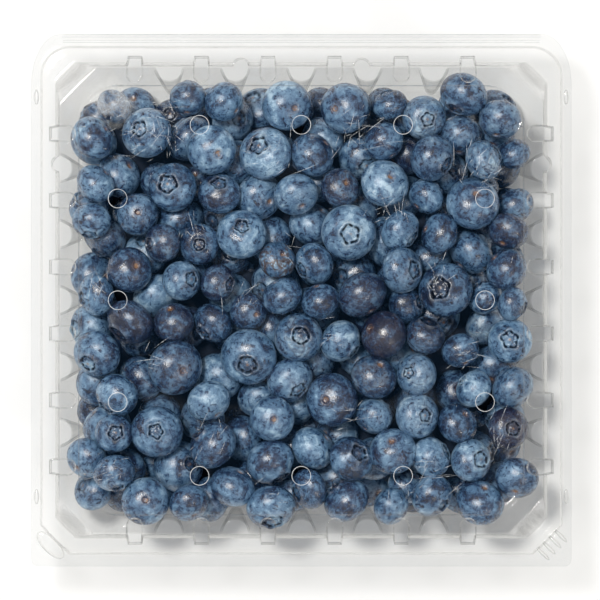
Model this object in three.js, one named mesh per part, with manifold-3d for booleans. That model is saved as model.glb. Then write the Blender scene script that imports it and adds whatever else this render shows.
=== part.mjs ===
// Punnet of blueberries: a clear hinged clamshell pack, shut and full of berries.
//
// Millimetres, +Z up. The origin is the middle of the underside. +Y points at the hinge along
// the back edge, -Y at the front edge with the thumb tabs, +X to the right.
// The tray and the lid are thin formed sheets. Each is worked out as an outer block less an inner
// block one sheet smaller, so its flutes, channels and posts are as thin as its walls.

import * as THREE from "three";
import Module from "manifold-3d";
import { mergeVertices } from "three/addons/utils/BufferGeometryUtils.js";

const wasm = await Module();
wasm.setup();

// Whole pack
const packWidth = 186;
const packDepth = 183.2;
const packHeight = 46;
const sheet = 0.5;
const looseFit = 0.3;

// How far a cutting block runs past the face that it cuts
const past = 1;

// Tray
const trayFloor = { halfX: 78, halfY: 74.2 };
const trayTop = { halfX: 84, halfY: 80.4 };
const flangeZ = 33;
const shoulderRise = 2;
const trayShoulder = { halfX: 88.4, halfY: 86.1 };
const stepDraft = 0.7;
const footBevel = 1.2;
const trayCorner = 13;

// Wide flutes down the tray wall, and narrow air channels over the edge of the lid
const pitch = 22.8;
const flutesPerSide = 5;
const fluteAtFloor = 1.6;
const fluteAtRim = 4.8;
const fluteAboveFoot = 0.6;
const channelsPerSide = 6;
const channelWidth = 4.8;
const channelDepth = 1.4;
const channelReach = 5.4;
const channelLip = 1.7;

// Lid
const lidBase = { halfX: 84.6, halfY: 81.9 };
const lidEdge = { halfX: 83, halfY: 80.3 };
const lidPanel = { halfX: 76.1, halfY: 73.4 };
const panelDrop = 1.2;
const panelDraft = 0.8;
const lidShoulderGrowth = 0.9;
const stackingPost = { radius: 2.9, taper: 0.3, backX: 20.7, sideY: 46.6 };

// Vent holes, the same twelve in the lid and in the floor
const vent = { radius: 3.25, rowX: 34.8, rowY: 60, columnX: 62.8, columnY: 34.8 };

// Snap studs and thumb tabs on the lid's flange
const stud = { x: 91.2, backY: 70, frontY: -67.6, halfWidth: 0.85, halfLength: 2.6, height: 1 };
const thumbTab = { x: 86.4, y: -84.3, halfWidth: 2.7, halfLength: 6.2, height: 1 };
const tabRib = { count: 4, spacing: 2.9, halfWidth: 0.7, halfLength: 2.9, height: 0.9 };

// Hinge line, level with the middle of the gap between the two flanges
const hingeZ = flangeZ + looseFit / 2;

// Heap of berries
const berryCount = 290;
const berryAcross = { least: 12, most: 18.6 };
const berryFlatness = { least: 0.83, most: 0.95 };
const settlingRounds = 240;
const heapFloor = sheet + 0.4;
const heapCeiling = packHeight - panelDrop - sheet - 0.4;
const heapWallGap = sheet + 0.4;
const heapCorner = 14;
const fillHeight = 17;
const softness = 0.97;
const largestRadius = 9.5;

// How the berries settle: the seed of the draw, how far one sinks in each round at first, and how
// often near pairs are listed again
const settling = { seed: 20417, fall: 0.12, roundsPerList: 8, listMargin: 3 };

// A berry that shows: how much of a push it takes, how much of that goes sideways, how strongly
// it is drawn back to its place, how deep it may lie, and how far its plain side tips down
const shown = {
  give: 0.5, slide: 0.8, returnAcross: 0.12, returnUp: 0.06,
  sink: 1.5, sinkOfSmaller: 0.4, leastUp: 0.06, lean: 2, plainTip: -0.35,
};

// The heap's plain core, from its lowest ring up
const core = { inset: 6.5, bevel: 2, topBevel: 6, aboveFloor: 4.6, belowCeiling: 9.6, berryReach: 4 };
const smallestEdge = 0.2;

// Berries that show best from above: middle and width in the photograph's pixels, then the
// pixel where the crown or the stem scar shows, if it does
const photoMiddle = { x: 301.3, y: 300.2 };
const heapMmPerPixel = 0.343;
const shownBerries = [
  [93, 137, 44],
  [146, 132, 50, 138, 128, "crown"],
  [113, 106, 37],
  [190, 97, 36],
  [221, 100, 40],
  [212, 150, 48, 220, 155, "scar"],
  [265, 155, 52, 256, 145, "crown"],
  [288, 102, 50, 298, 106, "scar"],
  [171, 188, 49, 165, 184, "crown"],
  [219, 193, 43, 219, 180, "crown"],
  [138, 212, 42, 139, 211, "scar"],
  [95, 185, 40],
  [91, 219, 38],
  [162, 242, 38, 147, 243, "crown"],
  [201, 243, 40, 201, 244, "crown"],
  [240, 232, 50, 241, 222, "crown"],
  [293, 194, 44, 300, 209, "scar"],
  [128, 270, 44, 137, 265, "scar"],
  [97, 293, 42],
  [180, 282, 40, 193, 280, "crown"],
  [217, 283, 38, 232, 285, "crown"],
  [278, 261, 38, 286, 254, "scar"],
  [312, 155, 44],
  [345, 107, 50, 333, 109, "scar"],
  [395, 105, 34],
  [424, 122, 44, 428, 125, "crown"],
  [461, 93, 48],
  [501, 119, 42],
  [461, 133, 42],
  [384, 142, 40],
  [433, 155, 46],
  [485, 157, 40],
  [517, 157, 34],
  [385, 182, 48, 392, 173, "scar"],
  [340, 187, 40, 348, 181, "scar"],
  [427, 193, 38],
  [473, 202, 53, 477, 190, "scar"],
  [345, 235, 54, 347, 237, "crown"],
  [402, 239, 43],
  [440, 235, 41],
  [510, 234, 40],
  [317, 264, 42],
  [447, 290, 54, 438, 288, "crown"],
  [505, 268, 41],
  [318, 302, 40],
  [364, 297, 50],
  [408, 299, 38],
  [487, 297, 36],
  [516, 300, 34],
  [128, 323, 48],
  [172, 322, 40],
  [215, 322, 42, 203, 335, "crown"],
  [247, 312, 38, 256, 316, "scar"],
  [300, 335, 48, 303, 333, "crown"],
  [99, 352, 48, 88, 365, "crown"],
  [173, 368, 54, 184, 371, "scar"],
  [247, 359, 55, 246, 368, "crown"],
  [289, 381, 46, 300, 394, "crown"],
  [118, 397, 43],
  [209, 403, 44],
  [272, 420, 44, 274, 420, "scar"],
  [117, 430, 38, 120, 428, "crown"],
  [153, 431, 52, 152, 430, "crown"],
  [82, 449, 42],
  [215, 446, 50],
  [111, 473, 42],
  [275, 463, 49],
  [235, 484, 46],
  [148, 505, 48, 149, 503, "scar"],
  [184, 508, 40],
  [275, 510, 48],
  [340, 341, 42],
  [381, 333, 46, 365, 326, "scar"],
  [425, 335, 41],
  [460, 350, 38],
  [511, 340, 45, 510, 338, "crown"],
  [371, 378, 46, 379, 363, "scar"],
  [416, 376, 42, 405, 373, "crown"],
  [335, 398, 52, 326, 397, "scar"],
  [474, 391, 38],
  [513, 387, 43],
  [417, 416, 44, 427, 415, "crown"],
  [376, 417, 38],
  [459, 425, 42],
  [519, 430, 41, 525, 430, "crown"],
  [390, 450, 46, 388, 438, "scar"],
  [427, 463, 41],
  [467, 460, 42, 480, 458, "crown"],
  [352, 465, 45, 362, 456, "crown"],
  [315, 457, 45],
  [516, 480, 44],
  [483, 500, 48],
  [350, 499, 46],
  [391, 507, 38],
  [433, 505, 42],
  [310, 489, 40],
];

// A fixed draw of numbers from 0 to 1, the same each time the heap is made.
function makeDraw(seed) {
  const multiplier = 16807;
  const modulus = 2147483647;
  let state = seed;
  return () => {
    state = (state * multiplier) % modulus;
    return state / modulus;
  };
}

function between(range, share) {
  return range.least + (range.most - range.least) * share;
}

// A closed ring of points at one height, anticlockwise from above. Each corner is cut back by
// a leg along either side, and is round at 1 or a straight chamfer at 0.
function ring({ halfX, halfY }, z, back, front = back) {
  const cornerSteps = 3;
  const points = [];
  const addCorner = (signX, signY, corner, reversed) => {
    for (let step = 0; step <= cornerSteps; step += 1) {
      const share = reversed ? 1 - step / cornerSteps : step / cornerSteps;
      const angle = (share * Math.PI) / 2;
      const alongX = THREE.MathUtils.lerp(1 - share, Math.cos(angle), corner.round);
      const alongY = THREE.MathUtils.lerp(share, Math.sin(angle), corner.round);
      const x = halfX - corner.legX * (1 - alongX);
      const y = halfY - corner.legY * (1 - alongY);
      points.push(new THREE.Vector3(signX * x, signY * y, z));
    }
  };
  addCorner(1, 1, back, false);
  addCorner(-1, 1, back, true);
  addCorner(-1, -1, front, false);
  addCorner(1, -1, front, true);
  return points;
}

function corner(legX, legY, round) {
  return { legX, legY, round };
}

function grown({ halfX, halfY }, by) {
  return { halfX: halfX + by, halfY: halfY + by };
}

// A closed surface through a stack of rings, with a flat cap on the first and the last.
function loft(rings) {
  const count = rings[0].length;
  const points = rings.flat();
  const faces = [];
  for (let level = 0; level + 1 < rings.length; level += 1) {
    for (let side = 0; side < count; side += 1) {
      const next = (side + 1) % count;
      const low = level * count;
      const high = low + count;
      faces.push(low + side, low + next, high + next, low + side, high + next, high + side);
    }
  }
  const addCap = (start, upwards) => {
    const middle = new THREE.Vector3();
    for (let side = 0; side < count; side += 1) {
      middle.addScaledVector(points[start + side], 1 / count);
    }
    const hub = points.push(middle) - 1;
    for (let side = 0; side < count; side += 1) {
      const next = (side + 1) % count;
      faces.push(hub, start + (upwards ? side : next), start + (upwards ? next : side));
    }
  };
  addCap(0, false);
  addCap((rings.length - 1) * count, true);
  const geometry = new THREE.BufferGeometry().setFromPoints(points);
  geometry.setIndex(faces);
  return geometry;
}

function solidOf(geometry) {
  const bare = geometry.clone();
  bare.deleteAttribute("normal");
  bare.deleteAttribute("uv");
  const merged = mergeVertices(bare, 1e-4);
  const mesh = new wasm.Mesh({
    numProp: 3,
    vertProperties: Float32Array.from(merged.attributes.position.array),
    triVerts: Uint32Array.from(merged.index.array),
  });
  return new wasm.Manifold(mesh);
}

function geometryOf(solid) {
  const mesh = solid.getMesh();
  const geometry = new THREE.BufferGeometry();
  geometry.setAttribute("position", new THREE.BufferAttribute(mesh.vertProperties, 3));
  geometry.setIndex(new THREE.BufferAttribute(mesh.triVerts, 1));
  geometry.computeVertexNormals();
  return geometry;
}

function block(rings) {
  return solidOf(loft(rings));
}

// A round post whose middle leans from one point to another, with its own radius at each end.
function post(from, to, fromRadius, toRadius, sides) {
  const circle = (middle, radius) => {
    const points = [];
    for (let side = 0; side < sides; side += 1) {
      const angle = ((side + 0.5) * 2 * Math.PI) / sides;
      points.push(
        new THREE.Vector3(
          middle.x + radius * Math.cos(angle),
          middle.y + radius * Math.sin(angle),
          middle.z,
        ),
      );
    }
    return points;
  };
  return solidOf(loft([circle(from, fromRadius), circle(to, toRadius)]));
}

// The places of a row of features spread evenly about the middle of a side.
function spread(count) {
  return Array.from({ length: count }, (_, index) => (index - (count - 1) / 2) * pitch);
}

// Calls make(place) for each of the four sides, where place(out, along, z) gives a point by its
// distance out from the middle of the pack and its distance along that side.
function onEachSide(make) {
  make((out, along, z) => new THREE.Vector3(out, along, z), "halfX");
  make((out, along, z) => new THREE.Vector3(-along, out, z), "halfY");
  make((out, along, z) => new THREE.Vector3(-out, -along, z), "halfX");
  make((out, along, z) => new THREE.Vector3(along, -out, z), "halfY");
}

// Outlines shared by the tray and the lid
const roundTray = corner(trayCorner, trayCorner, 1);
const flangeBack = corner(10, 17.5, 1);
const flangeFront = corner(2.4, 2.4, 1);
const beadBack = corner(10.3, 10.3, 1);
const beadFront = corner(10, 10, 0.15);
const domeBase = corner(6.6, 6.6, 0.1);
const domeEdge = corner(12.9, 12.9, 0.1);
const panelCorner = corner(13, 13, 1);
const flangeOutline = { halfX: packWidth / 2, halfY: packDepth / 2 };

function ventCutters(lowZ, highZ) {
  const cutters = [];
  const addVent = (x, y) => {
    const low = new THREE.Vector3(x, y, lowZ);
    const high = new THREE.Vector3(x, y, highZ);
    cutters.push(post(low, high, vent.radius, vent.radius, 8));
  };
  for (const side of [-1, 1]) {
    for (const step of [-1, 0, 1]) {
      addVent(step * vent.rowX, side * vent.rowY);
      addVent(side * vent.columnX, step * vent.columnY);
    }
  }
  return cutters;
}

// The cutters that press the wide flutes into the tray wall, thicker by the given margin.
function fluteCutters(margin, topZ) {
  const cutters = [];
  const lowZ = footBevel + fluteAboveFoot - margin;
  onEachSide((place, half) => {
    for (const along of spread(flutesPerSide)) {
      const low = place(trayFloor[half], along, lowZ);
      const high = place(trayTop[half], along, topZ);
      cutters.push(post(low, high, fluteAtFloor + margin, fluteAtRim + margin, 10));
    }
  });
  return cutters;
}

function buildTray() {
  const shoulderZ = flangeZ + shoulderRise;
  let outer = block([
    ring(grown(trayFloor, -footBevel), 0, roundTray),
    ring(trayFloor, footBevel, roundTray),
    ring(trayTop, shoulderZ - sheet, roundTray),
    ring(grown(trayShoulder, -sheet), shoulderZ - sheet, beadBack, beadFront),
    ring(grown(trayShoulder, stepDraft - sheet), flangeZ - sheet, beadBack, beadFront),
    ring(flangeOutline, flangeZ - sheet, flangeBack, flangeFront),
    ring(flangeOutline, flangeZ, flangeBack, flangeFront),
    ring(grown(trayShoulder, stepDraft), flangeZ, beadBack, beadFront),
    ring(trayShoulder, shoulderZ, beadBack, beadFront),
  ]);
  let inner = block([
    ring(grown(trayFloor, -footBevel - sheet), sheet, roundTray),
    ring(grown(trayFloor, -sheet), footBevel + sheet, roundTray),
    ring(grown(trayTop, -sheet), shoulderZ, roundTray),
    ring(grown(trayTop, -sheet), shoulderZ + past, roundTray),
  ]);
  for (const cutter of fluteCutters(0, shoulderZ - sheet)) {
    outer = outer.subtract(cutter);
  }
  for (const cutter of fluteCutters(sheet, shoulderZ)) {
    inner = inner.subtract(cutter);
  }
  let tray = outer.subtract(inner);
  for (const cutter of ventCutters(-past, sheet + past)) {
    tray = tray.subtract(cutter);
  }
  return tray;
}

// A bar with a half-round inner end, for one air channel: it runs out from innerOut to outerOut
// between two heights, and is as wide as the channel plus the given margin on either side.
function channelBar(place, along, innerOut, outerOut, lowZ, highZ, margin) {
  const halfWidth = channelWidth / 2 + margin;
  const endSteps = 3;
  const outline = [
    [outerOut, -halfWidth],
    [outerOut, halfWidth],
  ];
  for (let step = 0; step <= endSteps; step += 1) {
    const angle = Math.PI / 2 + (step * Math.PI) / endSteps;
    outline.push([innerOut + halfWidth + halfWidth * Math.cos(angle), halfWidth * Math.sin(angle)]);
  }
  const levels = [lowZ, highZ].map((z) => outline.map(([out, side]) => place(out, along + side, z)));
  return solidOf(loft(levels));
}

function buildLid() {
  const flangeLow = flangeZ + looseFit;
  const flangeTop = flangeLow + sheet;
  const shoulderTop = flangeTop + shoulderRise;
  const lidShoulder = grown(trayShoulder, lidShoulderGrowth);
  const panelTop = packHeight - panelDrop;
  const channelFloor = packHeight - channelDepth;
  let outer = block([
    ring(grown(lidShoulder, stepDraft - sheet), flangeLow, beadBack, beadFront),
    ring(flangeOutline, flangeLow, flangeBack, flangeFront),
    ring(flangeOutline, flangeTop, flangeBack, flangeFront),
    ring(grown(lidShoulder, stepDraft), flangeTop, beadBack, beadFront),
    ring(lidShoulder, shoulderTop, beadBack, beadFront),
    ring(lidBase, shoulderTop, domeBase),
    ring(lidEdge, packHeight, domeEdge),
    ring(lidPanel, packHeight, panelCorner),
    ring(grown(lidPanel, -panelDraft), panelTop, panelCorner),
  ]);
  let inner = block([
    ring(grown(lidShoulder, stepDraft - sheet), flangeLow - past, beadBack, beadFront),
    ring(grown(lidShoulder, stepDraft - sheet), flangeLow, beadBack, beadFront),
    ring(grown(lidShoulder, -sheet), shoulderTop - sheet, beadBack, beadFront),
    ring(grown(lidBase, -sheet), shoulderTop - sheet, domeBase),
    ring(grown(lidEdge, -sheet), packHeight - sheet, domeEdge),
    ring(grown(lidPanel, sheet), packHeight - sheet, panelCorner),
    ring(grown(lidPanel, sheet - panelDraft), panelTop - sheet, panelCorner),
  ]);

  onEachSide((place, half) => {
    for (const along of spread(channelsPerSide)) {
      const innerOut = lidEdge[half] - channelReach;
      const lipOut = lidBase[half] + channelLip;
      const rootOut = lidEdge[half] - sheet - past - channelWidth;
      const above = packHeight + past;
      outer = outer.add(
        channelBar(place, along, rootOut, lipOut, shoulderTop - sheet, channelFloor, 0),
      );
      inner = inner.add(
        channelBar(
          place, along, rootOut, lipOut - sheet,
          shoulderTop - 2 * sheet, channelFloor - sheet, -sheet,
        ),
      );
      outer = outer.subtract(
        channelBar(place, along, innerOut, lipOut + past, channelFloor, above, 0),
      );
      inner = inner.subtract(
        channelBar(
          place, along, innerOut - sheet, lipOut + past,
          channelFloor - sheet, above, sheet,
        ),
      );
    }
  });

  const addStackingPost = (x, y) => {
    const foot = new THREE.Vector3(x, y, shoulderTop - sheet);
    const top = new THREE.Vector3(x, y, packHeight);
    const innerFoot = foot.clone().setZ(shoulderTop - 2 * sheet);
    const innerTop = top.clone().setZ(packHeight - sheet);
    const { radius, taper } = stackingPost;
    outer = outer.add(post(foot, top, radius, radius - taper, 8));
    inner = inner.add(post(innerFoot, innerTop, radius - sheet, radius - taper - sheet, 8));
  };
  for (const side of [-1, 1]) {
    addStackingPost(side * stackingPost.backX, lidEdge.halfY);
    addStackingPost(side * lidEdge.halfX, stackingPost.sideY);
  }

  let lid = outer.subtract(inner);
  for (const cutter of ventCutters(panelTop - sheet - past, panelTop + past)) {
    lid = lid.subtract(cutter);
  }

  // Low domes pressed up from the flange: four snap studs, a smooth thumb tab on the left
  // and a ribbed one on the right
  const addDome = (x, y, { halfWidth, halfLength, height }, turn) => {
    const profile = [
      new THREE.Vector2(0, 0),
      new THREE.Vector2(1, 0),
      new THREE.Vector2(Math.SQRT1_2, Math.SQRT1_2),
      new THREE.Vector2(0, 1),
    ];
    const dome = new THREE.LatheGeometry(profile, 8);
    dome.rotateX(Math.PI / 2);
    dome.scale(halfWidth, halfLength, height + sheet / 2);
    dome.rotateZ(turn);
    dome.translate(x, y, flangeLow + sheet / 2);
    lid = lid.add(solidOf(dome));
  };
  const quarterTurn = Math.PI / 4;
  for (const side of [-1, 1]) {
    addDome(side * stud.x, stud.backY, stud, 0);
    addDome(side * stud.x, stud.frontY, stud, 0);
  }
  addDome(-thumbTab.x, thumbTab.y, thumbTab, quarterTurn);
  for (let rib = 0; rib < tabRib.count; rib += 1) {
    const along = (rib - (tabRib.count - 1) / 2) * tabRib.spacing * Math.SQRT1_2;
    addDome(thumbTab.x + along, thumbTab.y + along, tabRib, quarterTurn);
  }
  return lid;
}

// Half the inside width of the tray and lid at a height, up to the wall between the flutes.
function wallAt(half, z) {
  const share = Math.min(z / (flangeZ + shoulderRise), 1);
  return trayFloor[half] + (trayTop[half] - trayFloor[half]) * share - heapWallGap;
}

function fluteRadiusAt(z) {
  const share = Math.min(z / (flangeZ + shoulderRise), 1);
  return fluteAtFloor + (fluteAtRim - fluteAtFloor) * share + heapWallGap;
}

// Pushes one berry back inside the pack.
function keepInside(berry, flutes) {
  const { radius } = berry;
  berry.z = Math.max(berry.z, heapFloor + radius);
  berry.z = Math.min(berry.z, heapCeiling - radius);
  const limitX = wallAt("halfX", berry.z) - radius;
  const limitY = wallAt("halfY", berry.z) - radius;
  berry.x = Math.max(-limitX, Math.min(limitX, berry.x));
  berry.y = Math.max(-limitY, Math.min(limitY, berry.y));

  const cornerRadius = heapCorner - heapWallGap;
  const bendX = limitX + radius - cornerRadius;
  const bendY = limitY + radius - cornerRadius;
  const pastX = Math.abs(berry.x) - bendX;
  const pastY = Math.abs(berry.y) - bendY;
  if (pastX > 0 && pastY > 0) {
    const past = Math.sqrt(pastX * pastX + pastY * pastY);
    const room = cornerRadius - radius;
    if (past > room) {
      berry.x = Math.sign(berry.x) * (bendX + (pastX * room) / past);
      berry.y = Math.sign(berry.y) * (bendY + (pastY * room) / past);
    }
  }

  const fluteRadius = fluteRadiusAt(berry.z);
  const fluteX = wallAt("halfX", berry.z) + heapWallGap;
  const fluteY = wallAt("halfY", berry.z) + heapWallGap;
  for (const flute of flutes) {
    const acrossX = berry.x - flute.outX * fluteX - flute.alongX;
    const acrossY = berry.y - flute.outY * fluteY - flute.alongY;
    const apart = Math.sqrt(acrossX * acrossX + acrossY * acrossY);
    const needed = radius + fluteRadius;
    if (apart < needed) {
      berry.x += (acrossX * (needed - apart)) / apart;
      berry.y += (acrossY * (needed - apart)) / apart;
    }
  }
}

// Pairs of berries near enough to meet in the next few rounds.
function nearPairs(berries) {
  const pairs = [];
  for (let first = 0; first < berries.length; first += 1) {
    for (let second = first + 1; second < berries.length; second += 1) {
      const a = berries[first];
      const b = berries[second];
      const reach = a.radius + b.radius + settling.listMargin;
      const x = b.x - a.x;
      const y = b.y - a.y;
      const z = b.z - a.z;
      if (x * x + y * y + z * z < reach * reach) {
        pairs.push([a, b]);
      }
    }
  }
  return pairs;
}

// Pushes two berries apart. One that shows in the photograph moves up or down more than sideways.
function pushApart(a, b) {
  const x = b.x - a.x;
  const y = b.y - a.y;
  const z = b.z - a.z;
  const apart = Math.sqrt(x * x + y * y + z * z);
  const needed = (a.radius + b.radius) * softness;
  if (apart >= needed) {
    return;
  }
  const push = (needed - apart) / apart;
  const total = a.give + b.give;
  const shareA = (push * a.give) / total;
  const shareB = (push * b.give) / total;
  a.x -= x * shareA * a.slide;
  a.y -= y * shareA * a.slide;
  a.z -= z * shareA;
  b.x += x * shareB * b.slide;
  b.y += y * shareB * b.slide;
  b.z += z * shareB;
}

function unitVector(x, y, z) {
  const size = Math.sqrt(x * x + y * y + z * z);
  return { x: x / size, y: y / size, z: z / size };
}

// The heap: the berries that show lie where they are seen, and the rest settle round and under
// them, each as a ball that gives a little where it touches.
function settleBerries() {
  const draw = makeDraw(settling.seed);
  const berries = shownBerries.map(([px, py, across, endX, endY, end]) => {
    const radius = (across * heapMmPerPixel) / 2;
    const homeX = (px - photoMiddle.x) * heapMmPerPixel;
    const homeY = (photoMiddle.y - py) * heapMmPerPixel;
    const flatness = between(berryFlatness, draw());
    const sink = shown.sink * draw() + shown.sinkOfSmaller * (largestRadius - radius);
    const leanX = draw() - 0.5;
    const leanY = draw() - 0.5;
    let axis = unitVector(leanX * shown.lean, leanY * shown.lean, end ? 1 : shown.plainTip);
    if (end) {
      const outX = ((endX - px) * heapMmPerPixel) / radius;
      const outY = ((py - endY) * heapMmPerPixel) / radius;
      const up = Math.sqrt(Math.max(shown.leastUp, 1 - outX * outX - outY * outY));
      axis = unitVector(outX, outY, up);
    }
    const homeZ = heapCeiling - largestRadius - sink;
    const home = { x: homeX, y: homeY, z: homeZ };
    return { ...home, home, radius, flatness, axis, give: shown.give, slide: shown.slide };
  });
  while (berries.length < berryCount) {
    const radius = between(berryAcross, (draw() + draw() + draw()) / 3) / 2;
    const x = (draw() - 0.5) * 2 * (trayFloor.halfX - radius);
    const y = (draw() - 0.5) * 2 * (trayFloor.halfY - radius);
    const z = heapFloor + radius + draw() * fillHeight;
    const flatness = between(berryFlatness, draw());
    const axis = unitVector(draw() - 0.5, draw() - 0.5, draw() - 0.5);
    berries.push({ x, y, z, radius, flatness, axis, give: 1, slide: 1 });
  }

  const flutes = [];
  for (const along of spread(flutesPerSide)) {
    flutes.push({ outX: 1, outY: 0, alongX: 0, alongY: along });
    flutes.push({ outX: -1, outY: 0, alongX: 0, alongY: along });
    flutes.push({ outX: 0, outY: 1, alongX: along, alongY: 0 });
    flutes.push({ outX: 0, outY: -1, alongX: along, alongY: 0 });
  }

  let pairs = [];
  for (let round = 0; round < settlingRounds; round += 1) {
    if (round % settling.roundsPerList === 0) {
      pairs = nearPairs(berries);
    }
    const fall = settling.fall * (1 - round / settlingRounds);
    for (const berry of berries) {
      if (berry.home) {
        berry.x += (berry.home.x - berry.x) * shown.returnAcross;
        berry.y += (berry.home.y - berry.y) * shown.returnAcross;
        berry.z += (berry.home.z - berry.z) * shown.returnUp;
      } else {
        berry.z -= fall;
      }
    }
    for (const [a, b] of pairs) {
      pushApart(a, b);
    }
    for (const berry of berries) {
      keepInside(berry, flutes);
    }
  }
  return berries;
}

// One berry as a slightly flattened ball with few sides, and fewer where it only shows through
// the wall or the floor.
function berrySolid(berry, onTop) {
  const { radius, flatness, axis } = berry;
  const geometry = onTop ? new THREE.SphereGeometry(1, 6, 4) : new THREE.IcosahedronGeometry(1, 0);
  geometry.scale(radius, radius, radius * flatness);
  const turn = new THREE.Quaternion().setFromUnitVectors(
    new THREE.Vector3(0, 0, 1),
    new THREE.Vector3(axis.x, axis.y, axis.z),
  );
  geometry.applyQuaternion(turn);
  geometry.translate(berry.x, berry.y, berry.z);
  return solidOf(geometry);
}

// The heap as one solid: a plain core, and fused on it the berries that show from outside.
function buildHeap() {
  const berries = settleBerries();
  const coreLow = heapFloor + core.aboveFloor;
  const coreHigh = heapCeiling - core.belowCeiling;
  let heap = block([
    ring(grown(trayFloor, -core.inset - core.bevel), coreLow, roundTray),
    ring(grown(trayFloor, -core.inset), coreLow + 2 * core.bevel, roundTray),
    ring(grown(trayTop, -core.inset - core.bevel), coreHigh - core.topBevel, roundTray),
    ring(grown(trayTop, -core.inset - core.topBevel), coreHigh, roundTray),
  ]);
  for (const berry of berries) {
    heap = heap.add(berrySolid(berry, berry.z > coreHigh - core.berryReach));
  }
  const pieces = heap.decompose();
  pieces.sort((a, b) => b.volume() - a.volume());
  return pieces[0].simplify(smallestEdge);
}

const clearSheet = {
  color: 0xe8ecec,
  roughness: 0.08,
  metalness: 0,
  transparent: true,
  opacity: 0.35,
  flatShading: true,
};
const trayMaterial = new THREE.MeshStandardMaterial(clearSheet);
const lidMaterial = new THREE.MeshStandardMaterial(clearSheet);
const berryMaterial = new THREE.MeshStandardMaterial({
  color: 0x48617f,
  roughness: 0.62,
  metalness: 0,
  flatShading: true,
});

function namedMesh(name, solid, material) {
  const mesh = new THREE.Mesh(geometryOf(solid), material);
  mesh.name = name;
  return mesh;
}

const punnet = new THREE.Group();
punnet.add(namedMesh("tray", buildTray(), trayMaterial));
punnet.add(namedMesh("berry_heap", buildHeap(), berryMaterial));

// The lid turns about the hinge line along the back edge
const lidSwing = new THREE.Group();
lidSwing.position.set(0, packDepth / 2 + looseFit / 2, hingeZ);
const lidMesh = namedMesh("lid", buildLid(), lidMaterial);
lidMesh.position.copy(lidSwing.position).negate();
lidSwing.add(lidMesh);
punnet.add(lidSwing);

export default punnet;
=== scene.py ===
# Clear clamshell pack of blueberries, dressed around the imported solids.
import bpy
import bmesh
import math
import numpy as np
from mathutils import Matrix, Vector
from mathutils.geometry import delaunay_2d_cdt


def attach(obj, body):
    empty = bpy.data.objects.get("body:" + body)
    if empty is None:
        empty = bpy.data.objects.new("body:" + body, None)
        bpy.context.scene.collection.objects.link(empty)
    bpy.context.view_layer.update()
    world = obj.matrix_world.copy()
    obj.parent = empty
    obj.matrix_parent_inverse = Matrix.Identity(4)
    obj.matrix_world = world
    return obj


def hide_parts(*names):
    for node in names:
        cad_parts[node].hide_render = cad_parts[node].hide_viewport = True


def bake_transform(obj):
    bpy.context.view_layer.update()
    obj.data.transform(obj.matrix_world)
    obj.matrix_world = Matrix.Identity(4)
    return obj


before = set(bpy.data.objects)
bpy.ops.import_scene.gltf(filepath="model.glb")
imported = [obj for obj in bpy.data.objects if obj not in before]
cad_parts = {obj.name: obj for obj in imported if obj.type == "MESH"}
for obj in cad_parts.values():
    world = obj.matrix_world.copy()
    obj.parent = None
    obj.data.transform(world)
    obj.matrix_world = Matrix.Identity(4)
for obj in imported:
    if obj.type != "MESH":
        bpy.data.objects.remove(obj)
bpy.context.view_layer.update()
mm = 0.001

# Sizes of the pack in millimetres, the same as in the solids
pack = {
    "width": 186.0, "depth": 183.2, "height": 46.0, "sheet": 0.5, "looseFit": 0.3,
    "flangeZ": 33.0, "shoulderRise": 2.0, "stepDraft": 0.7, "pitch": 22.8,
    "shoulder": (88.4, 86.1),
}
tray = {
    "floor": (78.0, 74.2), "top": (84.0, 80.4), "footBevel": 1.2,
    "flutes": 5, "fluteAtFloor": 1.6, "fluteAtRim": 4.8, "fluteFoot": 1.8,
    "wallSteps": 7, "bend": 0.7,
}
lid = {
    "base": (84.6, 81.9), "edge": (83.0, 80.3), "panel": (76.1, 73.4),
    "panelDrop": 1.2, "panelDraft": 0.8, "shoulderGrowth": 0.9,
    "channels": 6, "channelWidth": 4.8, "channelDepth": 1.4, "channelReach": 5.4, "channelLip": 1.7,
    "postRadius": 2.9, "postTaper": 0.3, "postBackX": 20.7, "postSideY": 46.6, "bend": 0.8,
}
vent = {"radius": 3.25, "rowX": 34.8, "rowY": 60.0, "columnX": 62.8, "columnY": 34.8, "sides": 40}

# Corners as (leg along X, leg along Y, roundness)
roundTray = (13.0, 13.0, 1.0)
flangeBack = (10.0, 17.5, 1.0)
flangeFront = (2.4, 2.4, 1.0)
beadBack = (10.3, 10.3, 1.0)
beadFront = (10.0, 10.0, 0.15)
domeBase = (6.6, 6.6, 0.1)
domeEdge = (12.9, 12.9, 0.1)
panelCorner = (13.0, 13.0, 1.0)


# A fixed draw of numbers from 0 to 1, the same on every run
def makeDraw(seed):
    state = [seed]

    def draw():
        state[0] = (state[0] * 16807) % 2147483647
        return state[0] / 2147483647

    return draw


def between(low, high, share):
    return low + (high - low) * share


def spreadOf(count):
    return [(index - (count - 1) / 2) * pack["pitch"] for index in range(count)]


# Berries

berrySet = {
    "count": 290, "least": 12.0, "most": 18.6, "leastFlat": 0.83, "mostFlat": 0.95,
    "rounds": 240, "seed": 20417, "fall": 0.12, "roundsPerList": 8, "listMargin": 3,
    "floorZ": 0.9, "ceilingZ": 43.9, "wallGap": 0.9, "corner": 14.0, "fillHeight": 17.0,
    "softness": 0.97, "largestRadius": 9.5, "photoX": 301.3, "photoY": 300.2, "mmPerPixel": 0.343,
}
shown = {
    "give": 0.5, "slide": 0.8, "returnAcross": 0.12, "returnUp": 0.06,
    "sink": 1.5, "sinkOfSmaller": 0.4, "leastUp": 0.06, "lean": 2, "plainTip": -0.35,
}
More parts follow.
